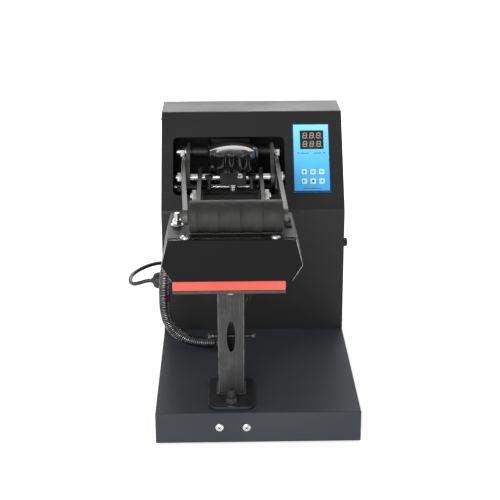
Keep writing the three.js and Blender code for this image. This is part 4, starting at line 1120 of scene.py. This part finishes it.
for i in range(count + 1):
    along = total * i / count
    while at_frame < len(frames) - 2 and frames[at_frame + 1][0] < along:
        at_frame += 1
    near, far = frames[at_frame], frames[at_frame + 1]
    share = (along - near[0]) / (far[0] - near[0])
    middle = near[1].lerp(far[1], share)
    side, lift = near[2].lerp(far[2], share), near[3].lerp(far[3], share)
    angle = 2 * pi * i / TURN_POINTS
    helix.append(middle + (side * cos(angle) + lift * sin(angle)) * coil_radius)
tube_mesh(bm, helix, WIRE / 1000, 1, 1)
hose = finished("hose", bm, None, [conduit.material, wire.material], smooth=60)
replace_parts(hose, "heater_hose")
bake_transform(hose)

socket_low, socket_high = box_of("hose_gland")
stem_x, stem_y, socket_z = -47, 209, 58
bm = bmesh.new()
turned(bm, (socket_low.x, stem_y, socket_z), (0, stem_y, socket_z), [
    (0.4, 7.4), (0, 8.6), (0.6, 10), (2.4, 10.4), (7.6, 10.4), (8.4, 9.8), (8.8, 9), (15.5, 8.6),
    (15.5, 0), (3, 0), (3, 7.4), (0.4, 7.4)], 36)
turned(bm, (stem_x, stem_y, 47.35), (stem_x, stem_y, 70), [
    (0, 0), (0, 13), (1.6, 13), (2.6, 12.2), (2.8, 9.5), (15, 9), (18.5, 7), (19.4, 3),
    (19.6, 0)], 36)
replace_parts(finished("hose_elbow", bm, "machine", MOULDED), "hose_gland")

# ---- Mains lead ----
# The lead leaves the left side through a screwed gland, bows outwards and drops behind the
# machine, where the spare length is coiled on the table, tied, with its plug beside it.
low, high = box_of("cord_gland")
gland_y, gland_z = (low.y + high.y) / 2, (low.z + high.z) / 2
bm = bmesh.new()
turned(bm, (high.x, gland_y, gland_z), (low.x, gland_y, gland_z), [
    (0, 0), (0, 12.5), (1.6, 12.5), (2.1, 12), (2.3, 11.2), (5.4, 11.2), (5.6, 12), (6.2, 12.5),
    (13.6, 12.5), (15.4, 12), (16.9, 11), (18.1, 9.6), (18.9, 7.8), (19.4, 5.6), (20, 4.7),
    (21.6, 4.6), (22, 4.2), (22, 0)], 40)
for i in range(20):
    turn = 2 * pi * i / 20
    y, z = gland_y + 12.45 * cos(turn), gland_z + 12.45 * sin(turn)
    bar(bm, (high.x - 7, y, z), (high.x - 13, y, z), 0.55)
gland = finished("lead_gland", bm, "machine", MOULDED)
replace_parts(gland, "cord_gland")

low, high = box_of("mains_plug")
plug_x, plug_z = (low.x + high.x) / 2, (low.z + high.z) / 2
PIN = 12
bm = bmesh.new()
block(bm, (low.x, low.y + PIN + 2, low.z), (high.x, high.y - 9, high.z))
bmesh.ops.subdivide_edges(bm, edges=bm.edges, cuts=5, use_grid_fill=True)
body_start, body_end = low.y + PIN + 2, high.y - 9
for vert in bm.verts:
    place = place_of(vert.co)
    along = (place.y - body_start) / (body_end - body_start)
    shrink = 1 - 0.5 * max(0, along - 0.35) ** 1.3 / 0.65 ** 1.3 - 0.05 * sin(pi * along)
    place.x = plug_x + (place.x - plug_x) * shrink
    place.z = max(plug_z + (place.z - plug_z) * (0.45 + 0.55 * shrink), low.z)
    vert.co = at(*place)
round_edges(bm, sharp_edges(bm, 50), 3.2, 4)
turned(bm, (plug_x, body_end - 3, plug_z), (plug_x, high.y, plug_z), [
    (0, 0), (0, 6.4), (2.5, 6.4), (3.2, 5.4), (4.2, 5.9), (5, 5), (6, 5.4), (6.8, 4.6),
    (7.8, 4.9), (8.6, 4.2), (9.6, 4.4), (12, 3.7), (12, 0)], 28)
for x, z in ((-6.35, 1.5), (6.35, 1.5)):
    start = len(bm.faces)
    block(bm, (plug_x + x - 0.75, low.y, plug_z + z - 3.1),
          (plug_x + x + 0.75, body_start + 1, plug_z + z + 3.1), 0.35)
    paint_new(bm, start)
start = len(bm.faces)
turned(bm, (plug_x, body_start + 1, plug_z - 4.6), (plug_x, low.y, plug_z - 4.6), [
    (0, 0), (0, 2.4), (12.4, 2.4), (13.4, 1.8), (14, 0)], 20)
paint_new(bm, start)
brass = Finish("plug_brass", (0.62, 0.5, 0.28), 0.3, 1.0)
brass.roughness(brass.spread(brass.noise(200), 0.22, 0.4))
plug = finished("plug", bm, "machine", [MOULDED, brass.material])
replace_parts(plug, "mains_plug")

CORD_RADIUS = 3.25
CORD_ROUTE = [
    (-162.9, 345, 108), (-172, 345.4, 106.6), (-181, 347.8, 103), (-189, 353.4, 99.2),
    (-195, 363, 96.6), (-198.6, 376.5, 95.6), (-199, 391.5, 95.6), (-195.8, 406.5, 96.2),
    (-188.5, 420.5, 97), (-178, 433.5, 98), (-166, 445, 98.3), (-153.5, 455.6, 96.6),
    (-141.5, 464.6, 91.4), (-130.6, 471.6, 81), (-120.6, 476.6, 66.4), (-111.6, 480.6, 49.4),
    (-103.4, 485, 32), (-95, 490.4, 17.2), (-86.2, 497, 7.9), (-77, 505, 3.9),
    (-67.2, 515.7, 3.35),
]
coil_low, coil_high = box_of("cord_coil")
COIL_X, COIL_Y = (coil_low.x + coil_high.x) / 2, (coil_low.y + coil_high.y) / 2
LAP_RADII = [42.75, 36.25, 29.75, 29.75, 36.25, 42.75]
MEETS, LEAVES = radians(144.8), radians(90)
STEP_START, STEP_SPAN = radians(200), radians(110)
LOW_LAYER, HIGH_LAYER = 3.3, 9.8


def ease(share):
    share = min(max(share, 0), 1)
    return share * share * (3 - 2 * share)


def coil_place(turned_by):
    """A place on the coil after winding clockwise by an angle from where the lead joins it."""
    wound = turned_by - STEP_START
    lap = int(wound // (2 * pi))
    before = LAP_RADII[max(lap, 0)]
    after = LAP_RADII[min(lap + 1, 5)] if lap >= 0 else before
    radius = before + (after - before) * ease((wound - lap * 2 * pi) / STEP_SPAN)
    climb = (wound - 4 * pi) / STEP_SPAN
    if lap == 2:
        radius = before
    if -0.4 < climb < 1.4:
        radius -= 1.5 * sin(pi * (climb + 0.4) / 1.8) ** 2
    z = LOW_LAYER + (HIGH_LAYER - LOW_LAYER) * ease(climb)
    angle = MEETS - turned_by
    return (COIL_X + radius * cos(angle), COIL_Y + radius * sin(angle), z)


wound_by = 5 * 2 * pi + MEETS - LEAVES
STEPS = 150
coil = [coil_place(wound_by * i / STEPS) for i in range(STEPS + 1)]
TAIL = [
    (-6, COIL_Y + 42.4, 9.4), (6, COIL_Y + 41.6, 8.2), (18, COIL_Y + 38.8, 6.8),
    (29, COIL_Y + 33.8, 6), (38.6, COIL_Y + 26.8, 6.4), (46.2, COIL_Y + 17.8, 7.6),
    (51.4, COIL_Y + 7.2, 9.2), (54, COIL_Y - 4.5, 10),
]
cord_line = smooth_line(CORD_ROUTE + coil + TAIL, 0.0032)
lead = tube_curve("lead", cord_line, CORD_RADIUS / 1000, 4)
sheath = Finish("lead_sheath", (0.012, 0.012, 0.0125), 0.42)
sheath.colour(sheath.ramp(sheath.noise(60, 5), [(0.35, (0.009, 0.009, 0.0095)),
                                                (0.75, (0.022, 0.022, 0.022))]))
sheath.roughness(sheath.spread(sheath.noise(200), 0.34, 0.5))
sheath.bump(sheath.noise(900, 2), 0.12, 0.0001)
lead.data.materials.append(sheath.material)
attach(lead, "machine")
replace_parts(lead, "mains_cord", "cord_coil")
bm = bmesh.new()
TIE_ANGLE = radians(55)
tie_middle = Vector((COIL_X + LAP_RADII[1] * cos(TIE_ANGLE),
                     COIL_Y + LAP_RADII[1] * sin(TIE_ANGLE), (LOW_LAYER + HIGH_LAYER) / 2))
outward = Vector((cos(TIE_ANGLE), sin(TIE_ANGLE), 0))
tangent = Vector((-sin(TIE_ANGLE), cos(TIE_ANGLE), 0))
ring = []
for i in range(48):
    angle = 2 * pi * i / 48
    u = abs(cos(angle)) ** 0.45 * (1 if cos(angle) > 0 else -1) * 10.6
    v = abs(sin(angle)) ** 0.45 * (1 if sin(angle) > 0 else -1) * 7
    ring.append(tie_middle + outward * u + Vector((0, 0, max(v, -5.9))))
edge_sets = []
for shift in (-5, 5):
    verts = [bm.verts.new(at(*(p + tangent * shift))) for p in ring]
    edge_sets += [bm.edges.new(pair) for pair in zip(verts, verts[1:] + verts[:1])]
bmesh.ops.bridge_loops(bm, edges=edge_sets)
bmesh.ops.recalc_face_normals(bm, faces=bm.faces)
hook = Finish("tie_fabric", (0.015, 0.015, 0.016), 0.9)
fuzz = hook.noise(1300, 2)
hook.colour(hook.ramp(fuzz, [(0.3, (0.008, 0.008, 0.009)), (0.7, (0.03, 0.03, 0.031))]))
hook.bump(fuzz, 0.6, 0.0004)
tie = finished("coil_tie", bm, "machine", hook.material)
thick = tie.modifiers.new("strap", "SOLIDIFY")
thick.thickness, thick.offset = 0.0009, 0
tie.modifiers.move(1, 0)

# ---- Studio ----
# A plain pale table under large soft lights, and a camera that looks slightly down on the
# machine from in front of it.
bm = bmesh.new()
bmesh.ops.create_grid(bm, x_segments=1, y_segments=1, size=6)
mesh = bpy.data.meshes.new("table")
bm.to_mesh(mesh)
bm.free()
table = bpy.data.objects.new("table", mesh)
bpy.context.scene.collection.objects.link(table)
paper = Finish("studio_paper", (0.9, 0.9, 0.9), 0.8, Emission_Color=(1, 1, 1, 1),
               Emission_Strength=0.5)
paper.roughness(paper.spread(paper.noise(3), 0.75, 0.9))
mesh.materials.append(paper.material)

world = bpy.data.worlds.new("studio")
bpy.context.scene.world = world
world.use_nodes = True
sky = world.node_tree.nodes["Background"]
sky.inputs["Color"].default_value = (1, 1, 1, 1)
seen = world.node_tree.nodes.new("ShaderNodeLightPath")
strength = world.node_tree.nodes.new("ShaderNodeMapRange")
strength.inputs["To Min"].default_value = 0.6
strength.inputs["To Max"].default_value = 1.0
world.node_tree.links.new(seen.outputs["Is Camera Ray"], strength.inputs["Value"])
world.node_tree.links.new(strength.outputs["Result"], sky.inputs["Strength"])
bpy.context.scene.view_settings.view_transform = "Standard"


def soft_light(name, place, target, size, power):
    data = bpy.data.lights.new(name, "AREA")
    data.shape = "RECTANGLE"
    data.size, data.size_y = size
    data.energy = power
    light = bpy.data.objects.new(name, data)
    bpy.context.scene.collection.objects.link(light)
    light.location = place
    light.rotation_euler = (Vector(target) - Vector(place)).to_track_quat("-Z", "Y").to_euler()


soft_light("front_light", (-0.7, -2.3, 1.0), (0, 0, 0.22), (1.5, 1.0), 42)
soft_light("back_light", (0, 2.4, 1.35), (0, 0, 0.3), (3.2, 1.5), 42)

camera_data = bpy.data.cameras.new("camera")
camera_data.lens = 86.4
camera_data.sensor_width = 36
camera = bpy.data.objects.new("camera", camera_data)
bpy.context.scene.collection.objects.link(camera)
bpy.context.scene.camera = camera
EYE = Vector((-0.0454, -1.6846, 0.8017))
PITCH, YAW, ROLL = radians(19.66), radians(1.15), radians(-0.2)
forward = Vector((sin(YAW) * cos(PITCH), cos(YAW) * cos(PITCH), -sin(PITCH)))
across = Vector((cos(YAW), -sin(YAW), 0))
upward = across.cross(forward)
right = across * cos(ROLL) + upward * sin(ROLL)
up = upward * cos(ROLL) - across * sin(ROLL)
camera.matrix_world = Matrix((
    (right.x, up.x, -forward.x, EYE.x),
    (right.y, up.y, -forward.y, EYE.y),
    (right.z, up.z, -forward.z, EYE.z),
    (0, 0, 0, 1),
))
